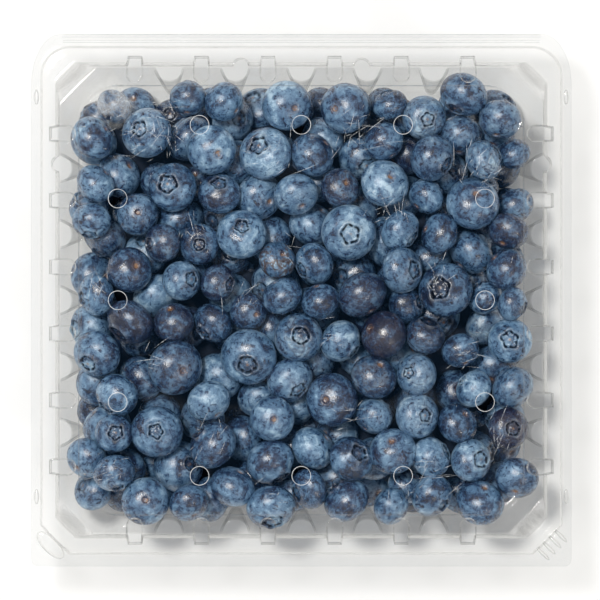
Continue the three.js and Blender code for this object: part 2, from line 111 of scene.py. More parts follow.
# Berries that show best: middle and width in the photograph's pixels, then the pixel of the
# crown or the stem scar where one shows
shownBerries = [
    (93, 137, 44), (146, 132, 50, 138, 128, "crown"), (113, 106, 37), (190, 97, 36), (221, 100, 40),
    (212, 150, 48, 220, 155, "scar"), (265, 155, 52, 256, 145, "crown"),
    (288, 102, 50, 298, 106, "scar"), (171, 188, 49, 165, 184, "crown"),
    (219, 193, 43, 219, 180, "crown"), (138, 212, 42, 139, 211, "scar"), (95, 185, 40), (91, 219, 38),
    (162, 242, 38, 147, 243, "crown"), (201, 243, 40, 201, 244, "crown"),
    (240, 232, 50, 241, 222, "crown"), (293, 194, 44, 300, 209, "scar"),
    (128, 270, 44, 137, 265, "scar"), (97, 293, 42), (180, 282, 40, 193, 280, "crown"),
    (217, 283, 38, 232, 285, "crown"), (278, 261, 38, 286, 254, "scar"), (312, 155, 44),
    (345, 107, 50, 333, 109, "scar"), (395, 105, 34), (424, 122, 44, 428, 125, "crown"), (461, 93, 48),
    (501, 119, 42), (461, 133, 42), (384, 142, 40), (433, 155, 46), (485, 157, 40), (517, 157, 34),
    (385, 182, 48, 392, 173, "scar"), (340, 187, 40, 348, 181, "scar"), (427, 193, 38),
    (473, 202, 53, 477, 190, "scar"), (345, 235, 54, 347, 237, "crown"), (402, 239, 43), (440, 235, 41),
    (510, 234, 40), (317, 264, 42), (447, 290, 54, 438, 288, "crown"), (505, 268, 41), (318, 302, 40),
    (364, 297, 50), (408, 299, 38), (487, 297, 36), (516, 300, 34), (128, 323, 48), (172, 322, 40),
    (215, 322, 42, 203, 335, "crown"), (247, 312, 38, 256, 316, "scar"),
    (300, 335, 48, 303, 333, "crown"), (99, 352, 48, 88, 365, "crown"),
    (173, 368, 54, 184, 371, "scar"), (247, 359, 55, 246, 368, "crown"),
    (289, 381, 46, 300, 394, "crown"), (118, 397, 43), (209, 403, 44), (272, 420, 44, 274, 420, "scar"),
    (117, 430, 38, 120, 428, "crown"), (153, 431, 52, 152, 430, "crown"), (82, 449, 42), (215, 446, 50),
    (111, 473, 42), (275, 463, 49), (235, 484, 46), (148, 505, 48, 149, 503, "scar"), (184, 508, 40),
    (275, 510, 48), (340, 341, 42), (381, 333, 46, 365, 326, "scar"), (425, 335, 41), (460, 350, 38),
    (511, 340, 45, 510, 338, "crown"), (371, 378, 46, 379, 363, "scar"),
    (416, 376, 42, 405, 373, "crown"), (335, 398, 52, 326, 397, "scar"), (474, 391, 38), (513, 387, 43),
    (417, 416, 44, 427, 415, "crown"), (376, 417, 38), (459, 425, 42),
    (519, 430, 41, 525, 430, "crown"), (390, 450, 46, 388, 438, "scar"), (427, 463, 41),
    (467, 460, 42, 480, 458, "crown"), (352, 465, 45, 362, 456, "crown"), (315, 457, 45),
    (516, 480, 44), (483, 500, 48), (350, 499, 46), (391, 507, 38), (433, 505, 42), (310, 489, 40),
]


def wallAt(axis, z):
    share = min(z / (pack["flangeZ"] + pack["shoulderRise"]), 1)
    low = tray["floor"][axis]
    return low + (tray["top"][axis] - low) * share - berrySet["wallGap"]


def fluteRadiusAt(z):
    share = min(z / (pack["flangeZ"] + pack["shoulderRise"]), 1)
    return tray["fluteAtFloor"] + (tray["fluteAtRim"] - tray["fluteAtFloor"]) * share + berrySet["wallGap"]


def sign(value):
    return (value > 0) - (value < 0)


def unitOf(x, y, z):
    size = math.sqrt(x * x + y * y + z * z)
    return (x / size, y / size, z / size)


class Berry:
    pass


def keepInside(berry, flutes):
    radius = berry.radius
    berry.z = max(berry.z, berrySet["floorZ"] + radius)
    berry.z = min(berry.z, berrySet["ceilingZ"] - radius)
    wallX = wallAt(0, berry.z)
    wallY = wallAt(1, berry.z)
    limitX = wallX - radius
    limitY = wallY - radius
    berry.x = max(-limitX, min(limitX, berry.x))
    berry.y = max(-limitY, min(limitY, berry.y))
    cornerRadius = berrySet["corner"] - berrySet["wallGap"]
    bendX = limitX + radius - cornerRadius
    bendY = limitY + radius - cornerRadius
    pastX = abs(berry.x) - bendX
    pastY = abs(berry.y) - bendY
    if pastX > 0 and pastY > 0:
        past = math.sqrt(pastX * pastX + pastY * pastY)
        room = cornerRadius - radius
        if past > room:
            berry.x = sign(berry.x) * (bendX + (pastX * room) / past)
            berry.y = sign(berry.y) * (bendY + (pastY * room) / past)
    needed = radius + fluteRadiusAt(berry.z)
    fluteX = wallX + berrySet["wallGap"]
    fluteY = wallY + berrySet["wallGap"]
    for outX, outY, alongX, alongY in flutes:
        acrossX = berry.x - outX * fluteX - alongX
        acrossY = berry.y - outY * fluteY - alongY
        apart = math.sqrt(acrossX * acrossX + acrossY * acrossY)
        if apart < needed:
            berry.x += (acrossX * (needed - apart)) / apart
            berry.y += (acrossY * (needed - apart)) / apart


def nearPairs(berries):
    pairs = []
    for first, a in enumerate(berries):
        ax, ay, az, reach0 = a.x, a.y, a.z, a.radius + berrySet["listMargin"]
        for b in berries[first + 1:]:
            x = b.x - ax
            reach = reach0 + b.radius
            if x > reach or x < -reach:
                continue
            y = b.y - ay
            z = b.z - az
            if x * x + y * y + z * z < reach * reach:
                pairs.append((a, b))
    return pairs


def pushApart(a, b):
    x = b.x - a.x
    y = b.y - a.y
    z = b.z - a.z
    apart = math.sqrt(x * x + y * y + z * z)
    needed = (a.radius + b.radius) * berrySet["softness"]
    if apart >= needed:
        return
    push = (needed - apart) / apart
    total = a.give + b.give
    shareA = (push * a.give) / total
    shareB = (push * b.give) / total
    a.x -= x * shareA * a.slide
    a.y -= y * shareA * a.slide
    a.z -= z * shareA
    b.x += x * shareB * b.slide
    b.y += y * shareB * b.slide
    b.z += z * shareB


# The berries settle by the same steps and draws as in the solids, so they lie in the same places
def settleBerries():
    draw = makeDraw(berrySet["seed"])
    scale = berrySet["mmPerPixel"]
    berries = []
    for row in shownBerries:
        px, py, across = row[:3]
        end = row[5] if len(row) > 3 else ""
        berry = Berry()
        berry.radius = (across * scale) / 2
        berry.x = (px - berrySet["photoX"]) * scale
        berry.y = (berrySet["photoY"] - py) * scale
        berry.flatness = between(berrySet["leastFlat"], berrySet["mostFlat"], draw())
        sink = shown["sink"] * draw() + shown["sinkOfSmaller"] * (berrySet["largestRadius"] - berry.radius)
        leanX = draw() - 0.5
        leanY = draw() - 0.5
        berry.axis = unitOf(leanX * shown["lean"], leanY * shown["lean"], shown["plainTip"])
        if end:
            outX = ((row[3] - px) * scale) / berry.radius
            outY = ((py - row[4]) * scale) / berry.radius
            up = math.sqrt(max(shown["leastUp"], 1 - outX * outX - outY * outY))
            berry.axis = unitOf(outX, outY, up)
        berry.z = berrySet["ceilingZ"] - berrySet["largestRadius"] - sink
        berry.home = (berry.x, berry.y, berry.z)
        berry.end = end
        berry.give = shown["give"]
        berry.slide = shown["slide"]
        berries.append(berry)
    while len(berries) < berrySet["count"]:
        berry = Berry()
        share = (draw() + draw() + draw()) / 3
        berry.radius = between(berrySet["least"], berrySet["most"], share) / 2
        berry.x = (draw() - 0.5) * 2 * (tray["floor"][0] - berry.radius)
        berry.y = (draw() - 0.5) * 2 * (tray["floor"][1] - berry.radius)
        berry.z = berrySet["floorZ"] + berry.radius + draw() * berrySet["fillHeight"]
        berry.flatness = between(berrySet["leastFlat"], berrySet["mostFlat"], draw())
        axisX = draw() - 0.5
        axisY = draw() - 0.5
        berry.axis = unitOf(axisX, axisY, draw() - 0.5)
        berry.home = None
        berry.end = ""
        berry.give = 1
        berry.slide = 1
        berries.append(berry)
    flutes = []
    for along in spreadOf(tray["flutes"]):
        flutes += [(1, 0, 0, along), (-1, 0, 0, along), (0, 1, along, 0), (0, -1, along, 0)]
    pairs = []
    for turn in range(berrySet["rounds"]):
        if turn % berrySet["roundsPerList"] == 0:
            pairs = nearPairs(berries)
        fall = berrySet["fall"] * (1 - turn / berrySet["rounds"])
        for berry in berries:
            if berry.home:
                berry.x += (berry.home[0] - berry.x) * shown["returnAcross"]
                berry.y += (berry.home[1] - berry.y) * shown["returnAcross"]
                berry.z += (berry.home[2] - berry.z) * shown["returnUp"]
            else:
                berry.z -= fall
        for a, b in pairs:
            pushApart(a, b)
        for berry in berries:
            keepInside(berry, flutes)
    return berries


# Shape of one berry, in shares of its own radius
berryShape = {
    "rim": 0.4, "rimWidth": 0.055, "rimRise": 0.085, "lobe": 0.1, "leastLobe": 0.3, "mostLobe": 1.25,
    "uneven": 0.1, "leastCrown": 0.82, "mostCrown": 1.22, "leastOpen": 0.4, "mostOpen": 1.15,
    "basin": 0.14, "basinEdge": 0.34, "crevice": 0.3, "creviceWidth": 0.042, "creviceDepth": 0.09,
    "ragged": 0.95, "leastRagged": 0.08, "mostRagged": 1.4,
    "disc": 0.24, "discRise": 0.07, "style": 0.045, "moat": 0.53, "moatWidth": 0.12, "moatDepth": 0.035,
    "pit": 0.135, "pitDepth": 0.08, "dimple": 0.33, "dimpleDepth": 0.05,
    "collar": 0.185, "collarWidth": 0.035, "collarDepth": 0.012,
    "lump": 0.04, "pinch": 0.035, "size": 1.02, "flatter": 0.03,
}
berryRings = {
    "fine": (
        0.03, 0.07, 0.12, 0.17, 0.21, 0.24, 0.265, 0.29, 0.315, 0.34, 0.365, 0.39, 0.415, 0.445, 0.48,
        0.53, 0.61, 0.7,
    ),
    "fineBody": 13, "fineScar": (0.46, 0.37, 0.3, 0.24, 0.2, 0.17, 0.145, 0.12, 0.09, 0.05), "fineSides": 40,
    "plain": (0.1, 0.2, 0.27, 0.33, 0.39, 0.46, 0.58), "plainBody": 10,
    "plainScar": (0.4, 0.22, 0.13, 0.08), "plainSides": 26,
}


def smoothStep(low, high, value):
    share = np.clip((value - low) / (high - low), 0, 1)
    return share * share * (3 - 2 * share)


def hump(value, middle, width):
    return np.exp(-(((value - middle) / width) ** 2))


# Angles from the crown's pole to the scar's pole, dense where the ends have their relief
def ringAngles(kind):
    angles = [math.asin(q) for q in berryRings[kind]]
    tail = [math.pi - math.asin(q) for q in berryRings[kind + "Scar"]]
    steps = berryRings[kind + "Body"]
    for step in range(1, steps):
        angles.append(between(angles[len(berryRings[kind]) - 1], tail[0], step / steps))
    return np.array(angles + tail)


def berryGrid(kind):
    sides = berryRings[kind + "Sides"]
    angles = ringAngles(kind)
    turns = np.arange(sides) * (2 * math.pi / sides)
    theta = np.concatenate([[0.0], np.repeat(angles, sides), [math.pi]])
    phi = np.concatenate([[0.0], np.tile(turns, len(angles)), [0.0]])
    faces = []
    for side in range(sides):
        after = (side + 1) % sides
        faces.append((0, 1 + side, 1 + after))
    for ring in range(len(angles) - 1):
        low = 1 + ring * sides
        for side in range(sides):
            after = (side + 1) % sides
            faces.append((low + side, low + sides + side, low + sides + after, low + after))
    last = 1 + (len(angles) - 1) * sides
    end = len(theta) - 1
    for side in range(sides):
        after = (side + 1) % sides
        faces.append((last + side, end, last + after))
    return theta, phi, faces


def wave(phi, times, draw):
    return np.cos(times * phi + draw() * 6.28)


# One berry's points about its own middle, crown up, and the marks at its two ends
def berryPoints(grid, radius, flatness, draw):
    shape = berryShape
    theta, phi, _ = grid
    across = np.sin(theta)
    height = np.cos(theta)
    unit = np.stack([across * np.cos(phi), across * np.sin(phi), height], 1)
    lobes = np.cos(5 * phi + draw() * 2 * math.pi)
    uneven = 0.35 * wave(phi, 2, draw) + 0.3 * wave(phi, 3, draw)
    crownSize = between(shape["leastCrown"], shape["mostCrown"], draw())
    openness = between(shape["leastOpen"], shape["mostOpen"], draw())
    q = across / crownSize
    starry = between(shape["leastLobe"], shape["mostLobe"], draw())
    starred = q / (1 + shape["lobe"] * starry * lobes + shape["uneven"] * uneven)
    top = (height > 0).astype(float)
    rim = hump(starred, shape["rim"], shape["rimWidth"]) * (0.62 + 0.38 * lobes + 0.25 * uneven) * top
    basin = (1 - smoothStep(0.15, shape["basinEdge"], starred)) * top
    ragged = shape["ragged"] + 0.42 * wave(phi, 7, draw) + 0.4 * wave(phi, 11, draw)
    ragged = np.clip(ragged, shape["leastRagged"], shape["mostRagged"])
    crevice = hump(starred, shape["crevice"], shape["creviceWidth"]) * ragged * top
    disc = (1 - smoothStep(0.05, shape["disc"], q)) * top
    moat = hump(q, shape["moat"], shape["moatWidth"]) * top
    bottom = (height < 0).astype(float)
    pit = (1 - smoothStep(shape["pit"] * 0.7, shape["pit"] * 1.15, across)) * bottom
    dimple = hump(across, 0, shape["dimple"]) * bottom
    collar = hump(across, shape["collar"], shape["collarWidth"]) * bottom
    rise = (
        shape["rimRise"] * openness * np.clip(rim, 0, 1.3) - shape["basin"] * basin
        - shape["creviceDepth"] * crevice + shape["discRise"] * disc - shape["moatDepth"] * moat
        + shape["pitDepth"] * pit + shape["dimpleDepth"] * dimple - shape["collarDepth"] * collar
    )
    size = np.full(len(theta), shape["size"])
    for turn in range(3):
        way = np.array(unitOf(draw() - 0.5, draw() - 0.5, draw() - 0.5))
        swell = shape["lump"] * between(0.3, 1, draw())
        size = size + swell * np.sin((1.2 + turn) * (unit @ way) + draw() * 6.28) / (1 + turn)
    size = size - shape["pinch"] * draw() * np.clip(height, 0, 1) ** 2
    points = unit * size[:, None]
    points[:, 2] = points[:, 2] * (flatness - shape["flatter"]) + rise
    points *= radius
    style = hump(q, 0, shape["style"]) * top
    # The first mark is painted shade for the crown's crevice and basin; the second the rim, partly painted
    # highlight; the third the stem scar
    marks = np.stack([
        np.clip(1.3 * crevice + 0.1 * basin, 0, 1),
        np.clip(rim, 0, 1) * 0.8 + 0.2 * disc,
        np.clip(pit + 0.35 * collar + style, 0, 1),
        np.clip(basin, 0, 1),
    ], 1)
    return points, unit, marks


def turnTo(axis):
    return np.array(Vector((0, 0, 1)).rotation_difference(Vector(axis)).to_matrix())


def addObject(name, data):
    made = bpy.data.objects.new(name, data)
    bpy.context.scene.collection.objects.link(made)
    return made


# A smooth piece from millimetre points, with the attributes that its material reads
def makePiece(name, points, faces, colours=None, vectors=None):
    mesh = bpy.data.meshes.new(name)
    mesh.from_pydata((np.asarray(points, float) * mm).tolist(), [], faces)
    for kind, field, table in (("FLOAT_COLOR", "color", colours), ("FLOAT_VECTOR", "vector", vectors)):
        for key, values in (table or {}).items():
            layer = mesh.attributes.new(key, kind, "POINT")
            layer.data.foreach_set(field, np.asarray(values, np.float32).ravel())
    mesh.update()
    mesh.shade_smooth()
    return addObject(name, mesh)


berryLooks = {
    "seed": 90821, "topZ": 24.0, "leastBloom": 0.26, "mostBloom": 0.68, "lowZ": 8.0, "lowBloomPaintedShade": 0.62,
    "ripeness": 0.16, "bruiseFrom": 0.75, "bruiseShare": 1.6, "patchSpread": 40,
}
# Berries that look unlike the rest, by their place in the list above: bloom, ripeness and bruise
specialLooks = {
    21: (0.55, 0.0, 0.9), 49: (0.12, 0.1, 0.2), 50: (0.1, 0.1, 0.15), 53: (0.55, 0.0, 0.35),
    72: (0.08, 0.15, 0.3), 76: (0.4, 0.1, 0.5), 84: (0.16, 0.3, 0.3),
}


def makeBerries(berries):
    grids = {"fine": berryGrid("fine"), "plain": berryGrid("plain")}
    groups = {}
    draw = makeDraw(berryLooks["seed"])
    for index, berry in enumerate(berries):
        flip = draw() < 0.5
        bloom = between(berryLooks["leastBloom"], berryLooks["mostBloom"], draw())
        ripeness = draw() * berryLooks["ripeness"]
        bruise = max(0.0, draw() - berryLooks["bruiseFrom"]) * berryLooks["bruiseShare"]
        spin = draw() * 2 * math.pi
        if index in specialLooks:
            bloom, ripeness, bruise = specialLooks[index]
        onTop = bool(berry.home) or berry.z > berryLooks["topZ"]
        # Berries lower in the heap keep less bloom and so turn darker: painted shade for the berries in the
        # heap's depth
        rise = (berry.z - berryLooks["lowZ"]) / (berryLooks["topZ"] - berryLooks["lowZ"])
        bloom *= between(berryLooks["lowBloomPaintedShade"], 1.0, min(max(rise, 0.0), 1.0))
        axis = berry.axis
        if berry.end == "scar" or (not berry.end and flip):
            axis = tuple(-part for part in axis)
        grid = grids["fine" if onTop else "plain"]
        points, unit, marks = berryPoints(grid, berry.radius, berry.flatness, draw)
        turned = points @ np.array(Matrix.Rotation(spin, 3, "Z")).T @ turnTo(axis).T
        place = turned + np.array([berry.x, berry.y, berry.z])
        kind = "berries_lower"
        if onTop:
            kind = {"crown": "berries_crown_up", "scar": "berries_scar_up"}.get(berry.end, "berries_plain_up")
        if kind not in groups:
            groups[kind] = {"points": [], "faces": [], "coords": [], "marks": [], "looks": [], "count": 0}
        group = groups[kind]
        offset = group["count"]
        group["faces"] += [tuple(corner + offset for corner in face) for face in grid[2]]
        group["count"] += len(place)
        group["points"].append(place)
        shift = np.array([draw() * berryLooks["patchSpread"] for _ in range(3)])
        group["coords"].append(unit + shift)
        group["marks"].append(marks)
        group["looks"].append(np.tile([bloom, ripeness, bruise, draw()], (len(place), 1)))
    pieces = []
    for kind in sorted(groups):
        group = groups[kind]
        piece = makePiece(
            kind, np.concatenate(group["points"]), group["faces"],
            colours={"endMarksAndPaintedLight": np.concatenate(group["marks"]), "berryLook": np.concatenate(group["looks"])},
            vectors={"berryCoord": np.concatenate(group["coords"])},
        )
        pieces.append(piece)
        print("berries:", kind, len(piece.data.polygons), "faces")
    return pieces


# Materials

# A short way to add a node, fill in its plain inputs and link the rest
class Recipe:
    def __init__(self, holder):
        holder.use_nodes = True
        self.holder = holder
        self.tree = holder.node_tree
        self.tree.nodes.clear()

    def add(self, kind, inputs=None, **settings):
        node = self.tree.nodes.new("ShaderNode" + kind)
        for key, value in settings.items():
            setattr(node, key, value)
        for key, value in (inputs or {}).items():
            if isinstance(value, bpy.types.NodeSocket):
                self.tree.links.new(value, node.inputs[key])
            else:
                node.inputs[key].default_value = value
        return node

    def math(self, operation, first, second=0.0, clamp=False):
        return self.add("Math", {0: first, 1: second}, operation=operation, use_clamp=clamp).outputs[0]

    # The value times the share, moved so that 0.5 gives 0
    def centred(self, value, share):
        return self.add("Math", {0: value, 1: share, 2: -share * 0.5}, operation="MULTIPLY_ADD").outputs[0]

    def through(self, colour):
        return self.add("BsdfTransparent", {"Color": (*colour, 1)}).outputs[0]

    def blend(self, share, first, second):
        return self.add("MixShader", {0: share, 1: first, 2: second}).outputs[0]

    def mixColour(self, share, first, second):
        node = self.add("Mix", {"Factor": share}, data_type="RGBA")
        for key, value in ((6, first), (7, second)):
            if isinstance(value, bpy.types.NodeSocket):
                self.tree.links.new(value, node.inputs[key])
            else:
                node.inputs[key].default_value = (*value, 1)
        return node.outputs[2]

    def noise(self, place, scale, detail=3.0, roughness=0.5, distortion=0.0):
        inputs = {"Vector": place, "Scale": scale, "Detail": detail, "Roughness": roughness}
        inputs["Distortion"] = distortion
        return self.add("TexNoise", inputs).outputs["Fac"]

    def step(self, value, low, high):
        inputs = {"Value": value, "From Min": low, "From Max": high}
        return self.add("MapRange", inputs, interpolation_type="SMOOTHSTEP").outputs["Result"]

    def ramp(self, value, stops):
        node = self.add("ValToRGB", {"Fac": value})
        ramp = node.color_ramp
        while len(ramp.elements) < len(stops):
            ramp.elements.new(0.5)
        for element, (place, colour) in zip(ramp.elements, stops):
            element.position = place
            element.color = (*colour, 1)
        return node.outputs["Color"]

    def finish(self, shader, kind="OutputMaterial"):
        output = self.tree.nodes.new("ShaderNode" + kind)
        self.tree.links.new(shader, output.inputs["Surface"])
        return self.holder


skin = {
    "deep": (0.005, 0.012, 0.034), "dark": (0.02, 0.048, 0.11), "mid": (0.076, 0.167, 0.294),
    "pale": (0.215, 0.36, 0.52), "chalk": (0.43, 0.59, 0.72),
    "purple": (0.045, 0.014, 0.03), "bruise": (0.06, 0.028, 0.016), "scar": (0.26, 0.13, 0.055),
    # crevice is painted shade for the crown's crevice; rim is paler, partly painted highlight and partly dry
    # tips, whose own brown is dryRim
    "crevice": (0.003, 0.003, 0.005), "rim": (0.3, 0.35, 0.4), "dryRim": (0.3, 0.19, 0.11),
    "patchShare": 1.6, "mottleShare": 1.35, "speckShare": 0.75, "shine": 1.0,
}


def berryMaterial():
    make = Recipe(bpy.data.materials.new("berrySkin"))
    coord = make.add("Attribute", attribute_name="berryCoord").outputs["Vector"]
    lookNode = make.add("Attribute", attribute_name="berryLook")
    look = make.add("SeparateColor", {"Color": lookNode.outputs["Color"]}).outputs
    markNode = make.add("Attribute", attribute_name="endMarksAndPaintedLight")
    marks = make.add("SeparateColor", {"Color": markNode.outputs["Color"]}).outputs
    patch = make.noise(coord, 1.15, 2, 0.5, 0.9)
    mottle = make.noise(coord, 4.6, 6, 0.62, 0.4)
    speck = make.noise(coord, 24, 3, 0.6)
    rub = make.noise(coord, 2.3, 4, 0.55, 2.4)
    amount = make.centred(patch, skin["patchShare"])
    mottled = make.centred(mottle, skin["mottleShare"])
    specked = make.centred(speck, skin["speckShare"])
    amount = make.math("ADD", amount, make.math("ADD", mottled, specked))
    amount = make.math("ADD", amount, look[0])
    rubbed = make.math("MULTIPLY", make.step(rub, 0.56, 0.66), 0.4)
    amount = make.math("SUBTRACT", amount, rubbed, clamp=True)
    stops = ((0.0, "deep"), (0.22, "dark"), (0.5, "mid"), (0.8, "pale"), (1.0, "chalk"))
    colour = make.ramp(amount, [(at, skin[key]) for at, key in stops])
    bare = make.math("SUBTRACT", 1.0, amount)
    colour = make.mixColour(make.math("MULTIPLY", look[1], bare), colour, skin["purple"])
    bruised = make.math("MULTIPLY", make.step(rub, 0.38, 0.5), make.step(patch, 0.44, 0.54))
    bruised = make.math("MULTIPLY", bruised, look[2])
    colour = make.mixColour(bruised, colour, skin["bruise"])
    # The crown's raised rim turns paler: partly painted highlight, partly the dry tips' own brown specks
    rimHighlightAndDryTips = make.mixColour(make.step(speck, 0.52, 0.6), skin["rim"], skin["dryRim"])
    colour = make.mixColour(make.math("MULTIPLY", marks[1], 0.42), colour, rimHighlightAndDryTips)
    # Painted shade: the crown's crevice turns near black
    colour = make.mixColour(make.math("MULTIPLY", marks[0], 0.97), colour, skin["crevice"])
    brown = make.math("MULTIPLY", marks[2], make.step(mottle, 0.3, 0.6))
    colour = make.mixColour(brown, colour, skin["scar"])
    rough = make.add("MapRange", {"Value": amount, "To Min": 0.2, "To Max": 0.4}).outputs["Result"]
    grain = make.math("ADD", make.math("MULTIPLY", mottle, 0.6), make.math("MULTIPLY", speck, 0.4))
    bump = make.add("Bump", {"Strength": 0.35, "Distance": 0.0005, "Height": grain}).outputs["Normal"]
    # The crevice loses its gloss too, as part of the painted shade
    shine = make.math("SUBTRACT", skin["shine"], marks[0], clamp=True)
    shader = make.add("BsdfPrincipled", {
        "Base Color": colour, "Roughness": rough, "Normal": bump, "Specular IOR Level": shine,
    })
    return make.finish(shader.outputs[0])


# Stage, light and camera

stageSet = {
    "floorColour": (0.9, 0.9, 0.895), "darker": 0.985, "floorZ": -0.4, "floorHalf": 3.0,
    "worldStrength": 0.66,
    "sky": [
        (0.0, (0.33, 0.325, 0.315)), (0.45, (0.76, 0.75, 0.735)), (0.8, (1, 0.985, 0.965)),
        (0.95, (1, 0.985, 0.965)), (0.985, (0.05, 0.15, 0.3)),
    ],
}
lightSet = {
    "key": {"place": (-0.37, 0.37, 1.46), "size": 0.24, "power": 16.6, "colour": (1, 0.985, 0.96)},
    "fill": {"place": (0.8, -0.75, 1.15), "size": 0.16, "power": 2.4, "colour": (1, 0.985, 0.96)},
}
lampAim = (0, 0, 0.03)
cameraSet = {
    "distance": 1500.0, "mmPerPixel": 0.3446, "pixels": 600, "centreX": -0.45, "centreY": 0.09,
    "levelZ": 33.0, "sensor": 36.0, "clipStart": 0.05, "clipEnd": 20,
}


def makeStage():
    mesh = bpy.data.meshes.new("floor")
    half = stageSet["floorHalf"]
    corners = [(-half, -half, 0), (half, -half, 0), (half, half, 0), (-half, half, 0)]
    mesh.from_pydata(corners, [], [(0, 1, 2, 3)])
    floor = addObject("floor", mesh)
    floor.location.z = stageSet["floorZ"] * mm
    make = Recipe(bpy.data.materials.new("paleFloor"))
    cloud = make.noise(make.add("TexCoord").outputs["Object"], 3, 2)
    pale = stageSet["floorColour"]
    colour = make.mixColour(cloud, pale, tuple(part * stageSet["darker"] for part in pale))
    inputs = {"Base Color": colour, "Roughness": 0.9, "Specular IOR Level": 0.1}
    mesh.materials.append(make.finish(make.add("BsdfPrincipled", inputs).outputs[0]))


def makeLight(name, facts):
    data = bpy.data.lights.new(name, "AREA")
    data.shape = "DISK"
    data.size = facts["size"]
    data.energy = facts["power"]
    data.color = facts["colour"]
    lamp = addObject(name, data)
    lamp.location = facts["place"]
    aim = Vector(lampAim) - Vector(facts["place"])
    lamp.rotation_euler = aim.to_track_quat("-Z", "Y").to_euler()


# The room's light is soft from the sides and dark straight above, so the flat lid stays clear
def makeWorld():
    make = Recipe(bpy.data.worlds.new("room"))
    direction = make.add("TexCoord").outputs["Generated"]
    height = make.add("SeparateXYZ", {0: direction}).outputs["Z"]
    inputs = {"Color": make.ramp(height, stageSet["sky"]), "Strength": stageSet["worldStrength"]}
    background = make.add("Background", inputs)
    bpy.context.scene.world = make.finish(background.outputs[0], "OutputWorld")


def makeCamera():
    data = bpy.data.cameras.new("camera")
    data.sensor_width = cameraSet["sensor"]
    wide = cameraSet["pixels"] * cameraSet["mmPerPixel"]
    data.lens = cameraSet["sensor"] * cameraSet["distance"] / wide
    data.clip_start = cameraSet["clipStart"]
    data.clip_end = cameraSet["clipEnd"]
    camera = addObject("camera", data)
    height = cameraSet["levelZ"] + cameraSet["distance"]
    camera.location = (cameraSet["centreX"] * mm, cameraSet["centreY"] * mm, height * mm)
    bpy.context.scene.camera = camera


makeCamera()
makeWorld()
for lampName, facts in lightSet.items():
    makeLight(lampName, facts)
makeStage()
bpy.context.scene.view_settings.view_transform = "Standard"
# A sight line and its shadow ray cross up to a dozen faces of clear sheet each
bpy.context.scene.cycles.transparent_max_bounces = 32
print("stage: camera, room, lights and floor")


# The formed sheets of the tray and the lid

# Stations round a sheet: along each side its features and the gaps between them, then a corner.
# A station on a side is ("side", side, gap or feature number, share or fraction, kind or "")
def stationsRound(featuresOfSide, gapSteps, cornerSteps):
    stations = []
    for side in range(4):
        features = featuresOfSide[side]
        for number in range(len(features) + 1):
            for step in range(1 if number else 0, gapSteps):
                stations.append(("gap", side, number, step / gapSteps, ""))
            if number < len(features):
                kind = features[number][1]
                for fraction in featureFractions[kind]:
                    stations.append(("feature", side, number, fraction, kind))
        for step in range(cornerSteps):
            share = step / cornerSteps
            stations.append(("corner", side, 0, share if side % 2 == 0 else 1 - share, ""))
    return stations


roundFractions = [-math.cos(math.pi * step / 12) for step in range(13)]
featureFractions = {
    "flute": roundFractions,
    "channel": [-1.1] + [-math.cos(math.pi * step / 8) for step in range(9)] + [1.1],
    "post": roundFractions,
}


def sidePoint(side, out, along, z):
    return ((out, along, z), (-along, out, z), (-out, -along, z), (along, -out, z))[side]


# One closed ring of points. shift(kind, fraction) gives how far a feature moves out and up there
def ringPoints(level, stations, featuresOfSide):
    halfX, halfY = level["half"]
    back, front = level["back"], level["front"]
    startLegs = (front[1], back[0], back[1], front[0])
    endLegs = (back[1], back[0], front[1], front[0])
    widths = level["widths"]
    points = []
    for what, side, number, value, kind in stations:
        if what == "corner":
            corner = back if side in (0, 1) else front
            angle = value * math.pi / 2
            alongX = between(1 - value, math.cos(angle), corner[2])
            alongY = between(value, math.sin(angle), corner[2])
            signX = 1 if side in (0, 3) else -1
            signY = 1 if side in (0, 1) else -1
            x = halfX - corner[0] * (1 - alongX)
            y = halfY - corner[1] * (1 - alongY)
            points.append((signX * x, signY * y, level["z"]))
            continue
        features = featuresOfSide[side]
        half = halfX if side % 2 == 0 else halfY
        other = halfY if side % 2 == 0 else halfX
        outShift, zShift = 0.0, 0.0
        if what == "feature":
            at = features[number][0]
            along = at + value * widths[kind]
            outShift, zShift = level["shift"](kind, value, side)
        else:
            low = startLegs[side] - other
            high = other - endLegs[side]
            if number > 0:
                before, beforeKind = features[number - 1]
                low = before + featureFractions[beforeKind][-1] * widths[beforeKind]
            if number < len(features):
                after, afterKind = features[number]
                high = after + featureFractions[afterKind][0] * widths[afterKind]
            along = between(low, high, value)
        points.append(sidePoint(side, half + outShift, along, level["z"] + zShift))
    return np.array(points)


# Rounds the bend at each ring that asks for it, by four rings in its place
def softened(rings, bends):
    result = [rings[0]]
    for index in range(1, len(rings) - 1):
        before, here, after = rings[index - 1], rings[index], rings[index + 1]
        bend = bends[index]
        if bend <= 0:
            result.append(here)
            continue
        back = before - here
        ahead = after - here
        backLength = np.maximum(np.linalg.norm(back, axis=1), 1e-6)[:, None]
        aheadLength = np.maximum(np.linalg.norm(ahead, axis=1), 1e-6)[:, None]
        start = here + back * np.minimum(bend / backLength, 0.42)
        end = here + ahead * np.minimum(bend / aheadLength, 0.42)
        for share in (0.0, 0.3, 0.7, 1.0):
            middle = here * 2 * share * (1 - share)
            result.append(start * (1 - share) ** 2 + middle + end * share ** 2)
    result.append(rings[-1])
    return result


def ventPlaces():
    places = []
    for side in (-1, 1):
        for step in (-1, 0, 1):
            places.append((step * vent["rowX"], side * vent["rowY"]))
            places.append((side * vent["columnX"], step * vent["columnY"]))
    return places


# The loose grid of points that evens out a flat panel's faces
panelGrid = {"spacing": 9.0, "count": 12, "corner": 8, "clear": 1.5}


